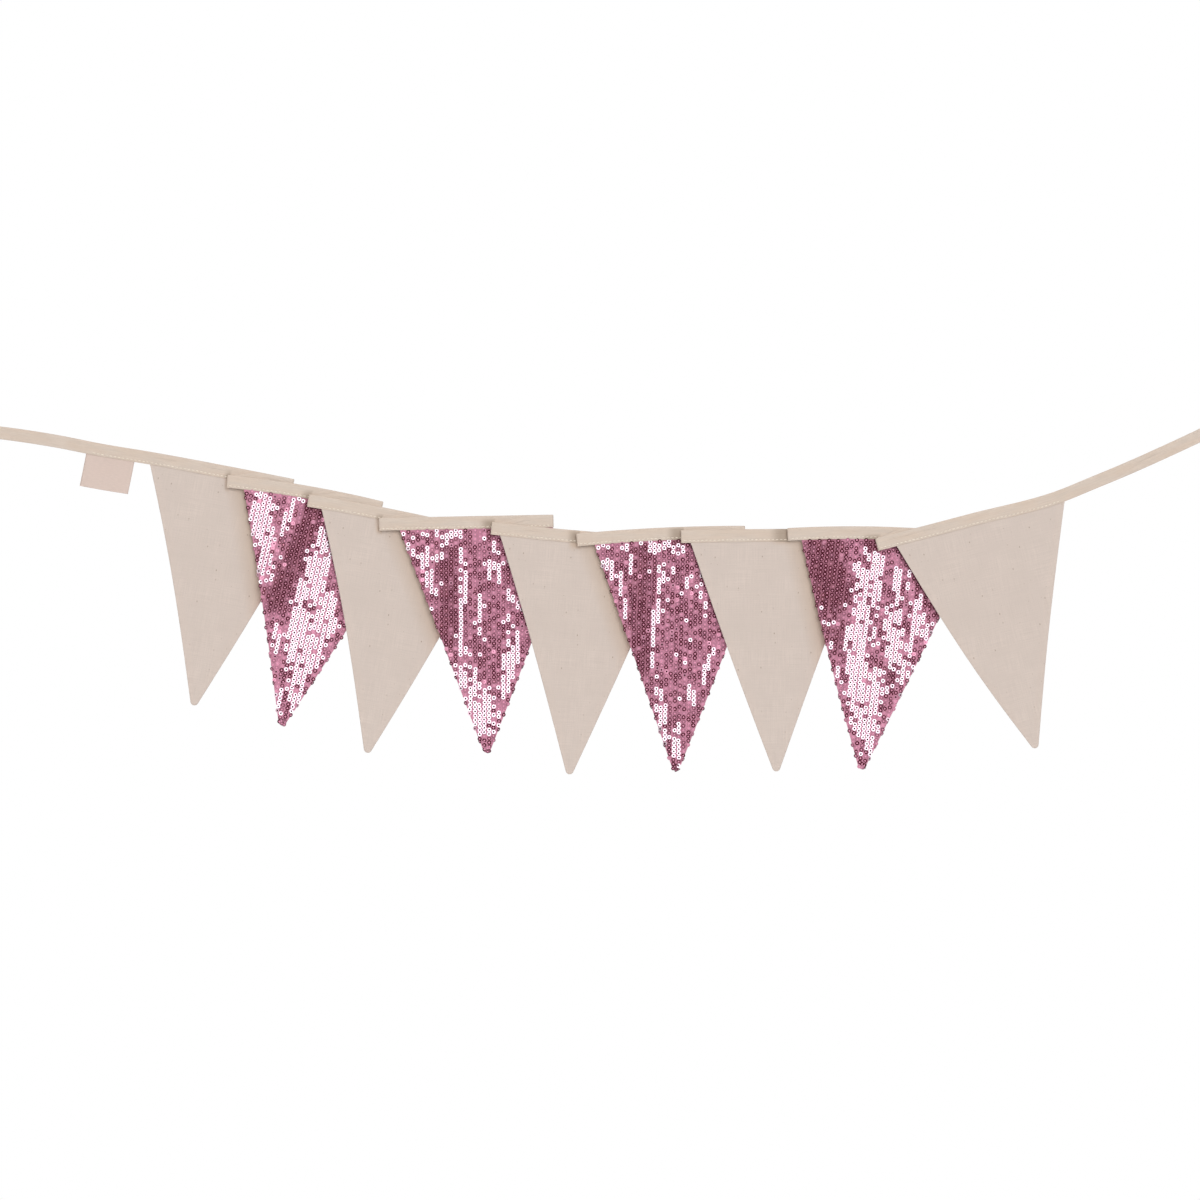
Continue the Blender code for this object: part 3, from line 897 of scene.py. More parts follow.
class Shading:
    """The nodes of one material or world."""

    def __init__(self, owner):
        owner.use_nodes = True
        self.owner = owner
        self.tree = owner.node_tree
        self.tree.nodes.clear()

    def node(self, kind, settings=None, inputs=None, output=0):
        """Adds a node: its settings first, then its sockets' values or links. Gives one of its outputs."""
        made = self.tree.nodes.new(kind)
        for name, value in (settings or {}).items():
            setattr(made, name, value)
        for key, value in (inputs or {}).items():
            if isinstance(value, Socket):
                self.tree.links.new(value.socket, made.inputs[key])
            else:
                made.inputs[key].default_value = value
        return Socket(self, made.outputs[output]) if made.outputs else None

    def attribute(self, name, output="Fac"):
        return self.node("ShaderNodeAttribute", {"attribute_name": name}, output=output)

    def parts(self, vector):
        """The x, y and z of a vector."""
        split = self.node("ShaderNodeSeparateXYZ", inputs={0: vector})
        return [Socket(self, out) for out in split.socket.node.outputs]

    def scaled(self, vector, factors):
        return self.node("ShaderNodeVectorMath", {"operation": "MULTIPLY"}, {0: vector, 1: factors})

    def noise(self, vector, factors, detail=2.0):
        """Smooth noise from 0 to 1, with so many lumps a metre in each direction."""
        inputs = {"Vector": self.scaled(vector, factors), "Scale": 1.0, "Detail": detail}
        return self.node("ShaderNodeTexNoise", inputs=inputs)

    def mix(self, amount, first, second):
        """A colour between two."""
        return self.node("ShaderNodeMix", {"data_type": "RGBA"}, {0: amount, 6: first, 7: second}, output=2)

    def surface(self, height, values, strength, distance):
        """Ends the material in a Principled BSDF, bumped by a height."""
        inputs = {"Strength": strength, "Distance": distance, "Height": height}
        normal = self.node("ShaderNodeBump", inputs=inputs)
        shader = self.node("ShaderNodeBsdfPrincipled", inputs={"Normal": normal, **values})
        self.node("ShaderNodeOutputMaterial", inputs={"Surface": shader})
        return self.owner


def solid(colour, factor=1.0):
    """A colour with its alpha, made lighter or darker."""
    return (*[channel * factor for channel in colour], 1.0)


def weave(along, down, pitch):
    """Height from 0 to 1 of a plain weave whose threads are a pitch apart."""
    warp = along / pitch
    weft = down / pitch

    def crown(thread):
        place = thread.math("FRACT") * 2.0 - 1.0
        return 1.0 - place * place

    over = ((warp.math("FLOOR") + weft.math("FLOOR")) * 0.5).math("FRACT") * 2.0
    upright = crown(warp) * (crown(weft) * 0.45 + 0.55)
    level = crown(weft) * (crown(warp) * 0.45 + 0.55)
    return over * upright + (1.0 - over) * level


def flecks(shading, cloth, factors, rarity):
    """1 on small seed flecks, each in its own cell of the cloth, fainter in some cells than in others."""
    place = shading.scaled(cloth, factors)
    inputs = {"Vector": place, "Scale": 1.0}
    cells = shading.node("ShaderNodeTexVoronoi", {"voronoi_dimensions": "2D"}, inputs)
    chance, faintness, _ = shading.parts(Socket(shading, cells.socket.node.outputs["Color"]))
    spot = 1.0 - cells.step(*FLECK_EDGE)
    return spot * chance.step(rarity, rarity + 0.02) * (faintness * 0.7 + 0.3)


def cotton_material(colours):
    shading = Shading(bpy.data.materials.new("unbleached_cotton"))
    cloth = shading.attribute("cloth", "Vector")
    along, down, side = shading.parts(cloth)
    threads = weave(along, down, COTTON_THREAD)
    upright_slubs = shading.noise(cloth, (1500.0, 45.0, 3.0))
    level_slubs = shading.noise(cloth, (38.0, 1300.0, 3.0))
    slubs = (upright_slubs + level_slubs) * 0.5
    cloudy = shading.noise(cloth, (35.0, 35.0, 3.0))
    large = flecks(shading, cloth, (95.0, 62.0, 0.0), rarity=0.80)
    small = flecks(shading, cloth, (170.0, 130.0, 0.0), rarity=0.90)
    grain = shading.noise(cloth, (900.0, 700.0, 5.0), detail=3.0)
    colour = shading.mix(slubs.step(0.32, 0.68), solid(colours.cotton, 0.93), solid(colours.cotton, 1.055))
    colour = shading.mix(cloudy.step(0.35, 0.65) * 0.6, colour, solid(colours.cotton, 0.955))
    # Painted light: the crowns of the threads are a little lighter.
    colour = shading.mix(threads * 0.05, colour, solid(colours.cotton, 1.12))
    colour = shading.mix(grain.step(0.5, 0.75) * 0.25, colour, solid(colours.cotton, 0.82))
    # Painted shade beside the pennant in front and left of the next tape fold, on the front face only.
    beside = shading.attribute("beside") * side.step(-0.5, 0.5)
    colour = shading.mix(beside * 0.7, colour, solid(COTTON_SHADE))
    rim = shading.attribute("rim")
    allowance = (1.0 - rim.step(*ALLOWANCE_END)) * 0.08
    colour = shading.mix(allowance, colour, solid(ALLOWANCE_TINT))
    colour = shading.mix((large + small) * 0.75, colour, solid(SEED_FLECK))
    height = threads * 0.35 + slubs * 0.3
    look = {"Base Color": colour, "Roughness": 0.93, "Sheen Weight": 0.12, "Sheen Roughness": 0.5}
    return shading.surface(height, look, strength=0.4, distance=0.14 * MM)


def tape_material(colours):
    shading = Shading(bpy.data.materials.new("cotton_tape"))
    cloth = shading.attribute("cloth", "Vector")
    along, across, side = shading.parts(cloth)
    threads = weave(along, across, TAPE_THREAD)
    slubs = shading.noise(cloth, (60.0, 1500.0, 3.0))
    cloudy = shading.noise(cloth, (30.0, 160.0, 3.0))
    wander = shading.noise(cloth, (18.0, 0.0, 0.0)) * CREASE_WANDER
    beside_upper = (across + wander - UPPER_CREASE).math("ABSOLUTE").step(0.0, UPPER_CREASE_WIDTH)
    beside_lower = (across - wander - LOWER_CREASE).math("ABSOLUTE").step(0.0, LOWER_CREASE_WIDTH)
    pressed = shading.noise(cloth, (24.0, 90.0, 3.0), detail=1.0).step(0.48, 0.66)
    crease = (2.0 - beside_upper - beside_lower) * pressed
    colour = shading.mix(slubs.step(0.3, 0.7), solid(colours.tape, 0.93), solid(colours.tape, 1.05))
    colour = shading.mix(cloudy.step(0.3, 0.7) * 0.55, colour, solid(TAPE_CLOUD))
    # Painted light: the crowns of the threads are lighter.
    colour = shading.mix(threads * 0.15, colour, solid(colours.tape, 1.12))
    # Painted shade: the pressed creases are darker.
    colour = shading.mix(crease * 0.22, colour, solid(colours.tape, 0.72))
    # Painted shade: darker left of the next pennant's tape fold, on the front face.
    beside = shading.attribute("beside") * side.step(-0.5, 0.5)
    colour = shading.mix(beside * 0.85, colour, solid(TAPE_SHADE))
    height = threads * 0.35 + slubs * 0.35 - crease * 0.9
    look = {"Base Color": colour, "Roughness": 0.9, "Sheen Weight": 0.1, "Sheen Roughness": 0.5}
    return shading.surface(height, look, strength=0.6, distance=0.18 * MM)


def thread_material(colours):
    shading = Shading(bpy.data.materials.new("sewing_thread"))
    cloth = shading.attribute("cloth", "Vector")
    along, around, _ = shading.parts(cloth)
    ply = ((along / THREAD_PLY + around) * (2 * math.pi)).math("SINE") * 0.5 + 0.5
    # Painted light: the crests of the twist are lighter and its grooves darker.
    colour = shading.mix(ply, solid(colours.thread, 0.84), solid(colours.thread, 1.06))
    look = {"Base Color": colour, "Roughness": 0.62, "Sheen Weight": 0.2}
    return shading.surface(ply, look, strength=0.5, distance=0.06 * MM)


def label_material(colours):
    shading = Shading(bpy.data.materials.new("label_satin"))
    cloth = shading.attribute("cloth", "Vector")
    _, down, _ = shading.parts(cloth)
    ribs = (down * (2 * math.pi / LABEL_RIB)).math("SINE") * 0.5 + 0.5
    floats = shading.noise(cloth, (260.0, 1900.0, 3.0))
    cloudy = shading.noise(cloth, (60.0, 60.0, 3.0))
    colour = shading.mix(floats.step(0.3, 0.7), solid(colours.label, 0.95), solid(colours.label, 1.04))
    colour = shading.mix(cloudy * 0.5, colour, solid(LABEL_CLOUD))
    height = ribs * 0.6 + floats * 0.4
    look = {"Base Color": colour, "Roughness": floats * 0.18 + 0.42, "Sheen Weight": 0.15}
    return shading.surface(height, look, strength=0.4, distance=0.07 * MM)


def ground_material(colours, string_step):
    shading = Shading(bpy.data.materials.new("sequin_ground"))
    cloth = shading.attribute("cloth", "Vector")
    along, down, side = shading.parts(cloth)
    knit = weave(along, down, KNIT)
    string = (along / string_step).math("FRACT") - 0.5
    row = 1.0 - string.math("ABSOLUTE").step(0.03, 0.09)
    dashes = ((down / BACK_STITCH).math("FRACT") - 0.5).math("ABSOLUTE").step(0.1, 0.2)
    cloudy = shading.noise(cloth, (60.0, 60.0, 3.0))
    behind = (side * -0.5 + 0.5).step(0.4, 0.6)
    front = shading.mix(cloudy, solid(colours.ground, 0.9), solid(colours.ground, 1.1))
    # Painted shade: the cloth under the sequins darkens where less light comes.
    painted_light_share = shading.attribute("shade") * 0.68 + 0.32
    front = shading.mix(painted_light_share, solid(colours.sequin_shaded, 1.5), front)
    back = shading.mix(cloudy, solid(KNIT_DEEP), solid(KNIT_BACK))
    colour = shading.mix(behind, front, back)
    colour = shading.mix(knit * 0.2, colour, solid(KNIT_BACK))
    stitched = row * (1.0 - dashes * 0.6)
    colour = shading.mix(stitched * behind, colour, solid(BACK_THREAD))
    height = knit * 0.5 + stitched * 0.8
    look = {"Base Color": colour, "Roughness": 0.88, "Sheen Weight": 0.2}
    return shading.surface(height, look, strength=0.7, distance=0.22 * MM)


def sequin_material(colours):
    shading = Shading(bpy.data.materials.new("sequin_foil"))
    shade = shading.attribute("shade")
    place = shading.node("ShaderNodeTexCoord", output="Object")
    grain = shading.noise(place, (900.0, 900.0, 900.0))
    # Painted shade and painted highlight: the shade value runs from the shaded copy through the pink to the
    # lit copy.
    colour = shading.mix(shade.step(0.0, 1.0), solid(colours.sequin_shaded), solid(colours.sequin))
    colour = shading.mix((shade - 1.0).step(0.0, 1.0), colour, solid(colours.sequin_lit))
    colour = shading.mix(grain * 0.02, colour, solid(colours.sequin, 1.1))
    knot = shading.attribute("knot")
    # The knots' thread is painted darker where less light comes.
    thread = shading.mix(shade, solid(colours.sequin_shaded, 0.6), solid(colours.ground, 1.3))
    colour = shading.mix(knot, colour, thread)
    look = {
        "Base Color": colour,
        "Roughness": grain * 0.06 + knot * 0.6 + 0.12,
        "Metallic": (1.0 - knot) * 0.35,
        "Specular IOR Level": 0.25,
        "Coat Weight": 0.08,
        "Coat Roughness": 0.08,
    }
    return shading.surface(grain, look, strength=0.12, distance=0.05 * MM)


# Tape and stitching


def fold_shade(i, x, z):
    """How much the left fold of the next pennant's tape shades a point behind it, from 0 to 1."""
    if i + 1 == len(PENNANTS):
        return 0.0
    row = PENNANTS[i + 1]
    ahead = row.fold_x * MM - x
    reach = FOLD_SHADE[i + 2] * MM if ahead > 0 else FOLD_SHADE_UNDER
    past_width = max(0.0, abs(z - row.left_z * MM) - TAPE_WIDTH / 2)
    return smooth(FOLD_SHADE_GAIN * (1 - abs(ahead) / reach)) * smooth(1 - past_width / FOLD_SHADE_PAST)


def tape_lengths():
    """Lengths along the tape of its mesh columns: close together in the folds."""
    total = TAPE.lengths[-1]
    stops = [0.0]
    for began, end in TAPE.turns:
        stops += [began, end]
    stops.append(total)
    lengths = []
    for n, (start, end) in enumerate(zip(stops, stops[1:])):
        step = TAPE_FOLD_STEP if n % 2 else TAPE_STEP
        count = max(2, round((end - start) / step))
        lengths += [start + (end - start) * k / count for k in range(count)]
    return lengths + [total]


def tape_outline():
    """The tape's section: round its outside from the front's lower edge, then back round its slot."""

    def mirrored(points):
        return [(across, -through) for across, through in points]

    front = [(across * MM, through * MM) for across, through in TAPE_FRONT]
    slot = [(across * MM, through * MM) for across, through in TAPE_SLOT]
    return front + [(TAPE_WIDTH / 2, 0.0)] + mirrored(front[::-1]) + mirrored(slot) + slot[-2::-1]


def pucker(length, across):
    """How far the tape's face lifts between stitches."""
    near = math.exp(-(((across - STITCH_LINE) / PUCKER_WIDTH) ** 2))
    return PUCKER * near * math.cos(2 * math.pi * length / PUCKER_LENGTH)


def tube_faces(rings, sides):
    """Faces of a closed tube whose points go ring by ring."""
    faces = []
    for k in range(rings - 1):
        here = k * sides
        ahead = here + sides
        for n in range(sides):
            following = (n + 1) % sides
            faces.append((here + n, ahead + n, ahead + following, here + following))
    faces.append(tuple(range(sides)))
    faces.append(tuple((rings - 1) * sides + n for n in reversed(range(sides))))
    return faces


def add_tape(material):
    outline = tape_outline()
    outer = 2 * len(TAPE_FRONT) + 1
    points, cloth, beside = [], [], []
    lengths = tape_lengths()
    for length in lengths:
        facing = TAPE.facing(length)
        *_, layer = TAPE.place(length)
        i = round(-layer / LAYER_STEP)
        over_pennant = math.isclose(layer, -i * LAYER_STEP, abs_tol=FOLD_RADIUS / 10)
        for n, (across, through) in enumerate(outline):
            side = 1.0 if through > 0 else -1.0
            lift = pucker(length, across) if n < outer else 0.0
            point = np.add(TAPE.point(length, across), facing * (through + lift * side))
            points.append(tuple(point))
            cloth.append((length, across, side))
            # Painted shade left of the next pennant's tape fold, kept for the tape's colour.
            beside.append(fold_shade(i, point[0], point[2]) if over_pennant else 0.0)
    mesh = bpy.data.meshes.new("folded_tape")
    mesh.from_pydata(points, [], tube_faces(len(lengths), len(outline)))
    mesh.shade_smooth()
    store(mesh, "cloth", cloth)
    store(mesh, "beside", beside)
    return new_object("folded_tape", mesh, material, node="tape")


def stitch_template(sizes):
    """One stitch along x, lifted in the middle, with its own coordinates."""
    radius = sizes.thread_width / 2
    points, cloth = [], []
    for along, fullness, lift in STITCH_RINGS:
        for n in range(STITCH_SIDES):
            angle = 2 * math.pi * n / STITCH_SIDES
            across = radius * fullness * math.cos(angle)
            through = radius * (fullness * math.sin(angle) + lift)
            points.append((along * sizes.stitch_length, across, through))
            cloth.append((along * sizes.stitch_length, n / STITCH_SIDES, 0.0))
    return np.array(points), np.array(cloth), tube_faces(len(STITCH_RINGS), STITCH_SIDES)


def in_fold(length):
    """True near the tape's folds, where no stitch shows."""
    clear = STITCH_CLEARANCE
    return any(began - clear < length < end + clear for began, end in TAPE.turns)


def add_stitching(sizes, material):
    """Stitches along the tape's lower edge, on both of its faces."""
    shape, cloth, faces = stitch_template(sizes)
    rng = np.random.default_rng(STITCH_SEED)
    points, coordinates, all_faces = [], [], []
    first_length = TAPE.length_at(STITCHED_FROM, 0.0)
    last_length = TAPE.length_at(STITCHED_TO, TAPE.cloth_starts[-1])
    for n in range(int((last_length - first_length) / sizes.stitch_step)):
        length = first_length + n * sizes.stitch_step
        if in_fold(length):
            continue
        facing = TAPE.facing(length)
        _, _, up_x, up_z, _ = TAPE.place(length)
        up = np.array((up_x, 0.0, up_z))
        along = np.cross(up, facing)
        for face_side in (1, -1):
            turn = rng.normal(0.0, STITCH_TURN)
            axis = along * math.cos(turn) + up * math.sin(turn)
            across_axis = up * math.cos(turn) - along * math.sin(turn)
            shift = STITCH_LINE + rng.normal(0.0, STITCH_SHIFT)
            centre = np.array(TAPE.point(length, shift)) + facing * face_side * STITCH_STAND
            placed = (
                centre
                + shape[:, :1] * axis
                + shape[:, 1:2] * across_axis * face_side
                + shape[:, 2:] * facing * face_side
            )
            base = len(points) * len(shape)
            points.append(placed)
            coordinates.append(cloth + (length, 0.0, 0.0))
            all_faces += [tuple(base + corner for corner in face) for face in faces]
    mesh = bpy.data.meshes.new("tape_stitching")
    mesh.from_pydata(np.concatenate(points).tolist(), [], all_faces)
    mesh.shade_smooth()
    store(mesh, "cloth", np.concatenate(coordinates))
    return new_object("tape_stitching", mesh, material)


# Label


def add_label(material):
    start = TAPE.length_at(LABEL_LEFT, 0.0)
    columns = np.linspace(0.0, LABEL_WIDTH, LABEL_COLUMNS)
    before, last = LABEL_LAST_ROWS
    downs = [*np.linspace(-TUCK, LABEL_HEIGHT - before, LABEL_ROWS), LABEL_HEIGHT - last, LABEL_HEIGHT]
    middle, half, cloth, rim = [], [], [], []
    for along in columns:
        middle_column, half_column, rim_column = [], [], []
        for down in downs:
            share = max(0.0, down / LABEL_HEIGHT)
            curl = LABEL_CURL * share * share
            wave = LABEL_WAVE * math.sin(2 * math.pi * LABEL_WAVES * along / LABEL_WIDTH) * share
            middle_column.append(TAPE.hanging_point(start + along, down, LABEL_TILT, curl + wave))
            inside = min(along, LABEL_WIDTH - along, LABEL_HEIGHT - down)
            rim_column.append(inside)
            half_column.append(LABEL_HALF * (0.5 if inside < LABEL_HALF / 2 else 1.0))
        middle.append(middle_column)
        half.append(half_column)
        cloth.append([(along, down) for down in downs])
        rim.append(rim_column)
    mesh = sheet_mesh("bare_label", np.array(middle), np.array(half), np.array(cloth), np.array(rim))
    return new_object("bare_label", mesh, material, node="label")


# Sequins


def ring_template(sizes):
    """One flat sequin in the x-y plane with its hole, and the knot under the hole, as points and faces."""
    outer = sizes.sequin_width / 2
    hole = sizes.sequin_hole / 2
    half = sizes.sequin_gauge / 2
    profile = ((outer, half), (hole, half), (hole, -half), (outer, -half))
    points, faces = [], []
    for n in range(RING_SIDES):
        angle = 2 * math.pi * n / RING_SIDES
        points += [(r * math.cos(angle), r * math.sin(angle), z) for r, z in profile]
        following = (n + 1) % RING_SIDES
        for k in range(4):
            after = (k + 1) % 4
            faces.append((4 * n + k, 4 * n + after, 4 * following + after, 4 * following + k))
    ring_points = len(points)
    crown = KNOT_SIDES + ring_points
    for n in range(KNOT_SIDES):
        angle = 2 * math.pi * n / KNOT_SIDES
        knot_x = KNOT_FULLNESS * hole * math.cos(angle)
        knot_y = KNOT_FULLNESS * hole * math.sin(angle)
        points.append((knot_x, knot_y, -half - KNOT_BELOW))
        faces.append((ring_points + n, ring_points + (n + 1) % KNOT_SIDES, crown))
    points.append((0.0, 0.0, -half))
    knot = np.arange(len(points)) >= ring_points
    return np.array(points), faces, knot


def photo_place(point):
    """Where a point of the garland lies in the photograph, in pixels."""
    return point[0] / PIXEL + ORIGIN_PX, ORIGIN_PY - point[2] / PIXEL


def lies_in_run(i, place, raggedness):
    for run in map(Run._make, RUNS[i + 1]):
        away = off_line(*place, (run.from_px, run.from_py), (run.to_px, run.to_py))
        reach = max(run.width_px, NARROWEST_RUN_PX) / 2
        if away < reach + raggedness * min(1.0, run.width_px / WIDE_RUN_PX):
            return True
    return False


def shade_at(i, centre, edge):
    """1 in the open, less where the cloth dips or the pennant in front shades it."""
    place = photo_place(centre)
    light = 1.0
    for shade in SHADES:
        if shade.pennant == i + 1:
            start = (shade.from_px, shade.from_py)
            end = (shade.to_px, shade.to_py)
            away = off_line(*place, start, end) / (shade.width_px / 2)
            light *= 1 - shade.depth * (1 - smooth((away - DIP_CORE) / DIP_SOFT))
    light *= 1 - FOLD_SHADE_DEPTH * fold_shade(i, centre[0], centre[2])
    from_front = float(np.min(np.hypot(edge[:, 0] - centre[0], edge[:, 1] - centre[2])))
    return light * (1 - FRONT_SHADOW[i + 1] * (1 - smooth((from_front - SHADOW_FULL) / SHADOW_REACH)))


def front_edge(i):
    """Points down the left side of the pennant that lies in front of this one, in the garland's plane."""
    row = PENNANTS[i + 1]
    alongs = np.linspace(0.0, PENNANT_WIDTH / 2, FRONT_EDGE_POINTS)
    points = [column_point(i + 1, along, drop_at(row, along)) for along in alongs]
    return np.array([(x, z) for x, _, z in points])


def flash_direction(point):
    """The way a sequin faces when it throws the studio light at the viewer."""
    viewer = np.array(AIM) + (0.0, -CAMERA_BACK, 0.0)
    lamp = np.add(AIM, KEY.offset)
    return unit(unit(viewer - point) + unit(lamp - point))


def sequin_place(i, sizes, rng, along, down, wave, edge):
    """Centre, facing direction and shade of one sequin, and the light there."""
    step = 0.5 * MM
    inside, slope = edge_distance(i, along, down)
    wrap = min(1.0, max(0.0, EDGE_BAND - inside) / (EDGE_BAND + EDGE_WRAP))
    held = min(down, drop_at(PENNANTS[i], along))
    centre = np.array(cloth_point(i, along, held))
    over = unit(np.subtract(cloth_point(i, along + step, held), cloth_point(i, along - step, held)))
    below = unit(np.subtract(cloth_point(i, along, held + step), cloth_point(i, along, held - step)))
    facing = unit(np.cross(below, over))
    outward = unit(below - slope * over)
    light = shade_at(i, centre, edge)
    target = flash_direction(centre)
    in_run = lies_in_run(i, photo_place(centre), rng.normal(0.0, RAGGED_PX))
    if light > DARK and rng.uniform() < (RUN_FILL if in_run else LONE_FLASHES):
        normal = unit(target + rng.normal(0.0, FLASH_SCATTER, 3))
        # Real flash from the facing above, and a painted highlight in the colour.
        shade = rng.uniform(*FLASH_SHADE)
    else:
        for _ in range(QUIET_TRIES):
            side_slope = wave + rng.normal(*SIDE_LEAN)
            down_slope = rng.normal(*DOWN_LEAN)
            normal = unit(facing + side_slope * over + down_slope * -below)
            if math.acos(min(1.0, float(normal @ target))) > QUIET_ANGLE:
                break
        # Painted shade: the less light, the deeper the colour, with a random spread; a few get a painted
        # glint instead.
        openness = math.sqrt(light)
        shade = openness * rng.uniform(0.0, QUIET_SHADE) ** (QUIET_POWER / openness)
        if rng.uniform() < GLINTS * light:
            shade = rng.uniform(*GLINT_SHADE)
    angle = wrap * EDGE_TURN
    normal = unit(normal * math.cos(angle) + outward * math.sin(angle))
    # Painted shade on the sequins turned over the edge.
    shade *= 1 - EDGE_DIM * wrap
    stand = sizes.ground_gauge / 2 + (STAND_LEAST + rng.uniform(0.0, STAND_SPREAD)) * MM
    centre = centre + facing * stand * (1 - EDGE_SINK * wrap) + outward * EDGE_OUT * wrap
    return centre, normal, shade, light


def sequin_places(i, sizes, rng):
    """What sequin_place gives for each sequin of a pennant: those at its tip, then down each string."""
    row = PENNANTS[i]
    fold = TAPE.fold_lengths[i] - TAPE.cloth_starts[i]
    strings = int(PENNANT_WIDTH / sizes.string_step) + 2
    edge = front_edge(i)
    places = []
    for across, up in TIP_SEQUINS:
        along = PENNANT_WIDTH / 2 + (across + rng.normal(0.0, TIP_SCATTER)) * MM
        down = (row.drop - up + rng.normal(0.0, TIP_SCATTER)) * MM
        places.append(sequin_place(i, sizes, rng, along, down, rng.normal(0.0, TIP_LEAN), edge))
    for string in range(strings):
        lean = rng.normal(0.0, STRING_LEAN)
        phase = rng.uniform(0.0, 2 * math.pi)
        offset = 0.5 * sizes.sequin_step * (string % 2) + rng.normal(0.0, SEQUIN_SCATTER)
        string_at = (string - FIRST_STRING) * sizes.string_step + rng.normal(0.0, STRING_SCATTER)
        if not SIDE_CLEARANCE < string_at < PENNANT_WIDTH - SIDE_CLEARANCE:
            continue
        for n in range(int(row.drop * MM / sizes.sequin_step) + 2):
            down = FIRST_SEQUIN + offset + n * sizes.sequin_step + rng.normal(0.0, SEQUIN_SCATTER)
            sway = SWAY * math.sin(phase + down / SWAY_LENGTH)
            along = string_at + sway + rng.normal(0.0, SEQUIN_SCATTER)
            if edge_distance(i, along, down)[0] < -EDGE_WRAP:
                break
            if along - down * math.tan(column_lean(i, fold)) > fold - FOLD_CLEARANCE:
                continue
            wave = WAVE * math.sin(phase + down / WAVE_LENGTH) + lean
            places.append(sequin_place(i, sizes, rng, along, down, wave, edge))
    return places


def store_beside(i, mesh):
    """Keeps how much the pennant in front and its tape fold shade each corner point, from 0 to 1."""
    values = np.zeros(len(mesh.vertices))
    if i + 1 < len(PENNANTS):
        edge = front_edge(i)
        for n, vertex in enumerate(mesh.vertices):
            away = float(np.min(np.hypot(edge[:, 0] - vertex.co.x, edge[:, 1] - vertex.co.z)))
            values[n] = max(0.0, 1 - away / BESIDE_REACH, fold_shade(i, vertex.co.x, vertex.co.z))
    store(mesh, "beside", values)


def store_shade(i, mesh):
    """Keeps how much light reaches each corner point of the cloth under the sequins."""
    edge = front_edge(i)
    store(mesh, "shade", [shade_at(i, np.array(vertex.co), edge) for vertex in mesh.vertices])


def add_sequins(i, sizes, material):
    shape, ring_faces, knot = ring_template(sizes)
    rng = np.random.default_rng(SEQUIN_SEED + i)
    points, shades, faces = [], [], []
    for n, (centre, normal, shade, light) in enumerate(sequin_places(i, sizes, rng)):
        sideways = unit(np.cross((0.0, 0.0, 1.0), normal))
        upward = np.cross(normal, sideways)
        points.append(centre + shape[:, :1] * sideways + shape[:, 1:2] * upward + shape[:, 2:] * normal)
        faces += [tuple(n * len(shape) + corner for corner in face) for face in ring_faces]
        # Painted shade of the knots: dark under those that flash, paler with more light.
        knot_shade = KNOT_UNDER_FLASH if shade > 1 else KNOT_SHADE + (1 - KNOT_SHADE) * light
        shades.append(np.where(knot, knot_shade, shade))
    mesh = bpy.data.meshes.new(f"pennant_{i + 1}_sequins")
    mesh.from_pydata(np.concatenate(points).tolist(), [], faces)
    store(mesh, "shade", np.concatenate(shades))
    store(mesh, "knot", np.tile(knot.astype(float), len(points)))
    return new_object(mesh.name, mesh, material)


# Operators


def pennant_flat(i):
    """Width and length of a pennant's cut before it was hung, and its area."""
    length = PENNANTS[i].drop * MM + TUCK
    return (PENNANT_WIDTH, length), PENNANT_WIDTH * (PENNANTS[i].drop * MM / 2 + TUCK)


class GARLAND_OT_tape(bpy.types.Operator):
    """Adds the folded cotton tape with the stitching along its lower edge"""

    bl_idname = "garland.tape"
    bl_label = "Tape and Stitching"

    def execute(self, context):
        sizes = context.scene.garland_sizes
        colours = context.scene.garland_colours
        tape = add_tape(tape_material(colours))
        stitching = add_stitching(sizes, thread_material(colours))
        return {"FINISHED"}


class GARLAND_OT_label(bpy.types.Operator):
    """Adds the small bare label under the tape"""

    bl_idname = "garland.label"
    bl_label = "Label"

    def execute(self, context):
        label = add_label(label_material(context.scene.garland_colours))
        return {"FINISHED"}


class GARLAND_OT_cotton_pennants(bpy.types.Operator):
    """Adds the five pennants of plain cotton"""

    bl_idname = "garland.cotton_pennants"
    bl_label = "Cotton Pennants"

    def execute(self, context):
        sizes = context.scene.garland_sizes
        material = cotton_material(context.scene.garland_colours)
        for i, row in enumerate(PENNANTS):
            if row.cloth != "cotton":
                continue
            name = f"pennant_{i + 1}_cloth"
            mesh = pennant_sheet(i, name, sizes.cotton_gauge, allowance=True)
            store_beside(i, mesh)
            piece = new_object(name, mesh, material, node=f"pennant_{i + 1}_cotton")
            flat, area = pennant_flat(i)
        return {"FINISHED"}


class GARLAND_OT_sequin_pennants(bpy.types.Operator):
    """Adds the four pennants of pink cloth and their strings of sequins"""

    bl_idname = "garland.sequin_pennants"
    bl_label = "Sequin Pennants"

    def execute(self, context):
        sizes = context.scene.garland_sizes
        colours = context.scene.garland_colours
        ground = ground_material(colours, sizes.string_step)
        foil = sequin_material(colours)
        for i, row in enumerate(PENNANTS):
            if row.cloth != "sequin":
                continue
            name = f"pennant_{i + 1}_ground"
            mesh = pennant_sheet(i, name, sizes.ground_gauge, allowance=False)
            store_shade(i, mesh)
            piece = new_object(name, mesh, ground, node=f"pennant_{i + 1}_sequin")
            sequins = add_sequins(i, sizes, foil)
            flat, area = pennant_flat(i)
        return {"FINISHED"}


class GARLAND_OT_stage(bpy.types.Operator):
    """Adds the pale floor, the soft studio light and the camera"""

    bl_idname = "garland.stage"
    bl_label = "Stage"

    def execute(self, context):
        add_floor()
        add_world(context.scene)
        for lamp in (KEY, FILL, BACK):
            add_lamp(lamp)
        add_camera(context.scene)
        context.scene.view_settings.view_transform = "Standard"
        return {"FINISHED"}


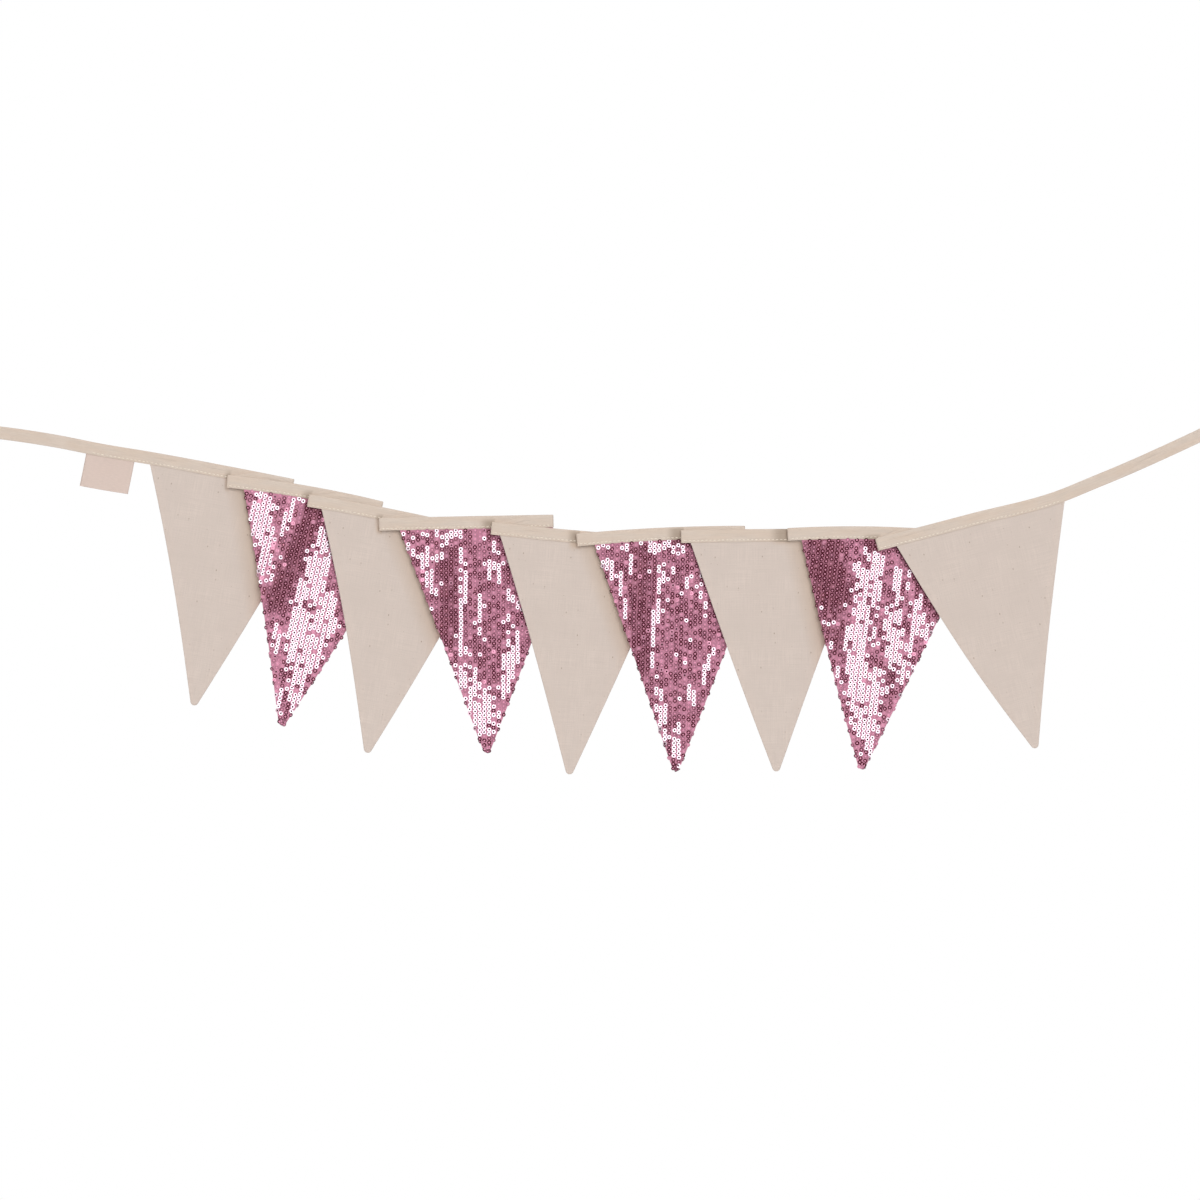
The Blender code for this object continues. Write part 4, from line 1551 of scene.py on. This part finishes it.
def add_floor():
    mesh = bpy.data.meshes.new("floor")
    half_x, half_y = FLOOR_HALF
    x, _, z = AIM
    level = z - FLOOR_BELOW
    corners = [(x - half_x, -half_y, level), (x + half_x, -half_y, level)]
    corners += [(x + half_x, half_y, level), (x - half_x, half_y, level)]
    mesh.from_pydata(corners, [], [(0, 1, 2, 3)])
    shading = Shading(bpy.data.materials.new("studio_floor"))
    place = shading.node("ShaderNodeTexCoord", output="Object")
    grain = shading.noise(place, (40.0, 40.0, 40.0))
    colour = shading.mix(grain * 0.1, solid(FLOOR_PALE), solid(FLOOR_DIM))
    look = {"Base Color": colour, "Roughness": 0.9}
    mesh.materials.append(shading.surface(grain, look, strength=0.05, distance=MM))
    floor = bpy.data.objects.new("floor", mesh)
    bpy.context.scene.collection.objects.link(floor)


def add_world(scene):
    """White behind the garland, and a dimmer room with soft bright panels for the sequins to mirror."""
    world = bpy.data.worlds.new("studio")
    scene.world = world
    shading = Shading(world)
    around = shading.node("ShaderNodeTexCoord", output="Generated")
    _, _, height = shading.parts(around)
    panels = shading.noise(around, (4.6, 4.6, 4.6), detail=1.0).step(0.46, 0.58)
    strength = panels * 0.82 + height * 0.08 + 0.12
    room = shading.node("ShaderNodeBackground", inputs={0: solid(ROOM), 1: strength})
    white = shading.node("ShaderNodeBackground", inputs={0: solid(WHITE), 1: 1.0})
    seen = shading.node("ShaderNodeLightPath", output="Is Camera Ray")
    both = shading.node("ShaderNodeMixShader", inputs={0: seen, 1: room, 2: white})
    shading.node("ShaderNodeOutputWorld", inputs={"Surface": both})


def add_lamp(lamp):
    light = bpy.data.lights.new(lamp.name, "AREA")
    light.shape = "SQUARE"
    light.size = lamp.size
    light.energy = lamp.power
    placed = bpy.data.objects.new(lamp.name, light)
    placed.location = np.add(AIM, lamp.offset)
    aim_at(placed, AIM)
    placed.visible_camera = False
    bpy.context.scene.collection.objects.link(placed)


def aim_at(thing, target):
    """Turns a lamp or camera so that it looks at a point, upright."""
    thing.rotation_euler = (Vector(target) - thing.location).to_track_quat("-Z", "Y").to_euler()


def add_camera(scene):
    data = bpy.data.cameras.new("camera")
    data.lens = LENS
    data.sensor_width = SENSOR
    camera = bpy.data.objects.new("camera", data)
    camera.location = np.add(AIM, (0.0, -CAMERA_BACK, 0.0))
    aim_at(camera, AIM)
    scene.collection.objects.link(camera)
    scene.camera = camera


class GARLAND_PT_panel(bpy.types.Panel):
    """Lists the garland's pieces, sizes and colours"""

    bl_idname = "GARLAND_PT_panel"
    bl_label = "Garland"
    bl_space_type = "VIEW_3D"
    bl_region_type = "UI"
    bl_category = "Garland"

    def draw(self, context):
        for operator in OPERATORS:
            self.layout.operator(operator.bl_idname)
        for group in (context.scene.garland_sizes, context.scene.garland_colours):
            box = self.layout.box()
            for name in group.__annotations__:
                box.prop(group, name)


OPERATORS = (
    GARLAND_OT_tape,
    GARLAND_OT_label,
    GARLAND_OT_cotton_pennants,
    GARLAND_OT_sequin_pennants,
    GARLAND_OT_stage,
)
CLASSES = (GarlandSizes, GarlandColours, *OPERATORS, GARLAND_PT_panel)


def register():
    for kind in CLASSES:
        bpy.utils.register_class(kind)
    bpy.types.Scene.garland_sizes = PointerProperty(type=GarlandSizes)
    bpy.types.Scene.garland_colours = PointerProperty(type=GarlandColours)


def unregister():
    del bpy.types.Scene.garland_colours
    del bpy.types.Scene.garland_sizes
    for kind in reversed(CLASSES):
        bpy.utils.unregister_class(kind)


def main():
    register()
    bpy.ops.garland.tape()
    bpy.ops.garland.label()
    bpy.ops.garland.cotton_pennants()
    bpy.ops.garland.sequin_pennants()
    bpy.ops.garland.stage()


if __name__ == "__main__":
    main()
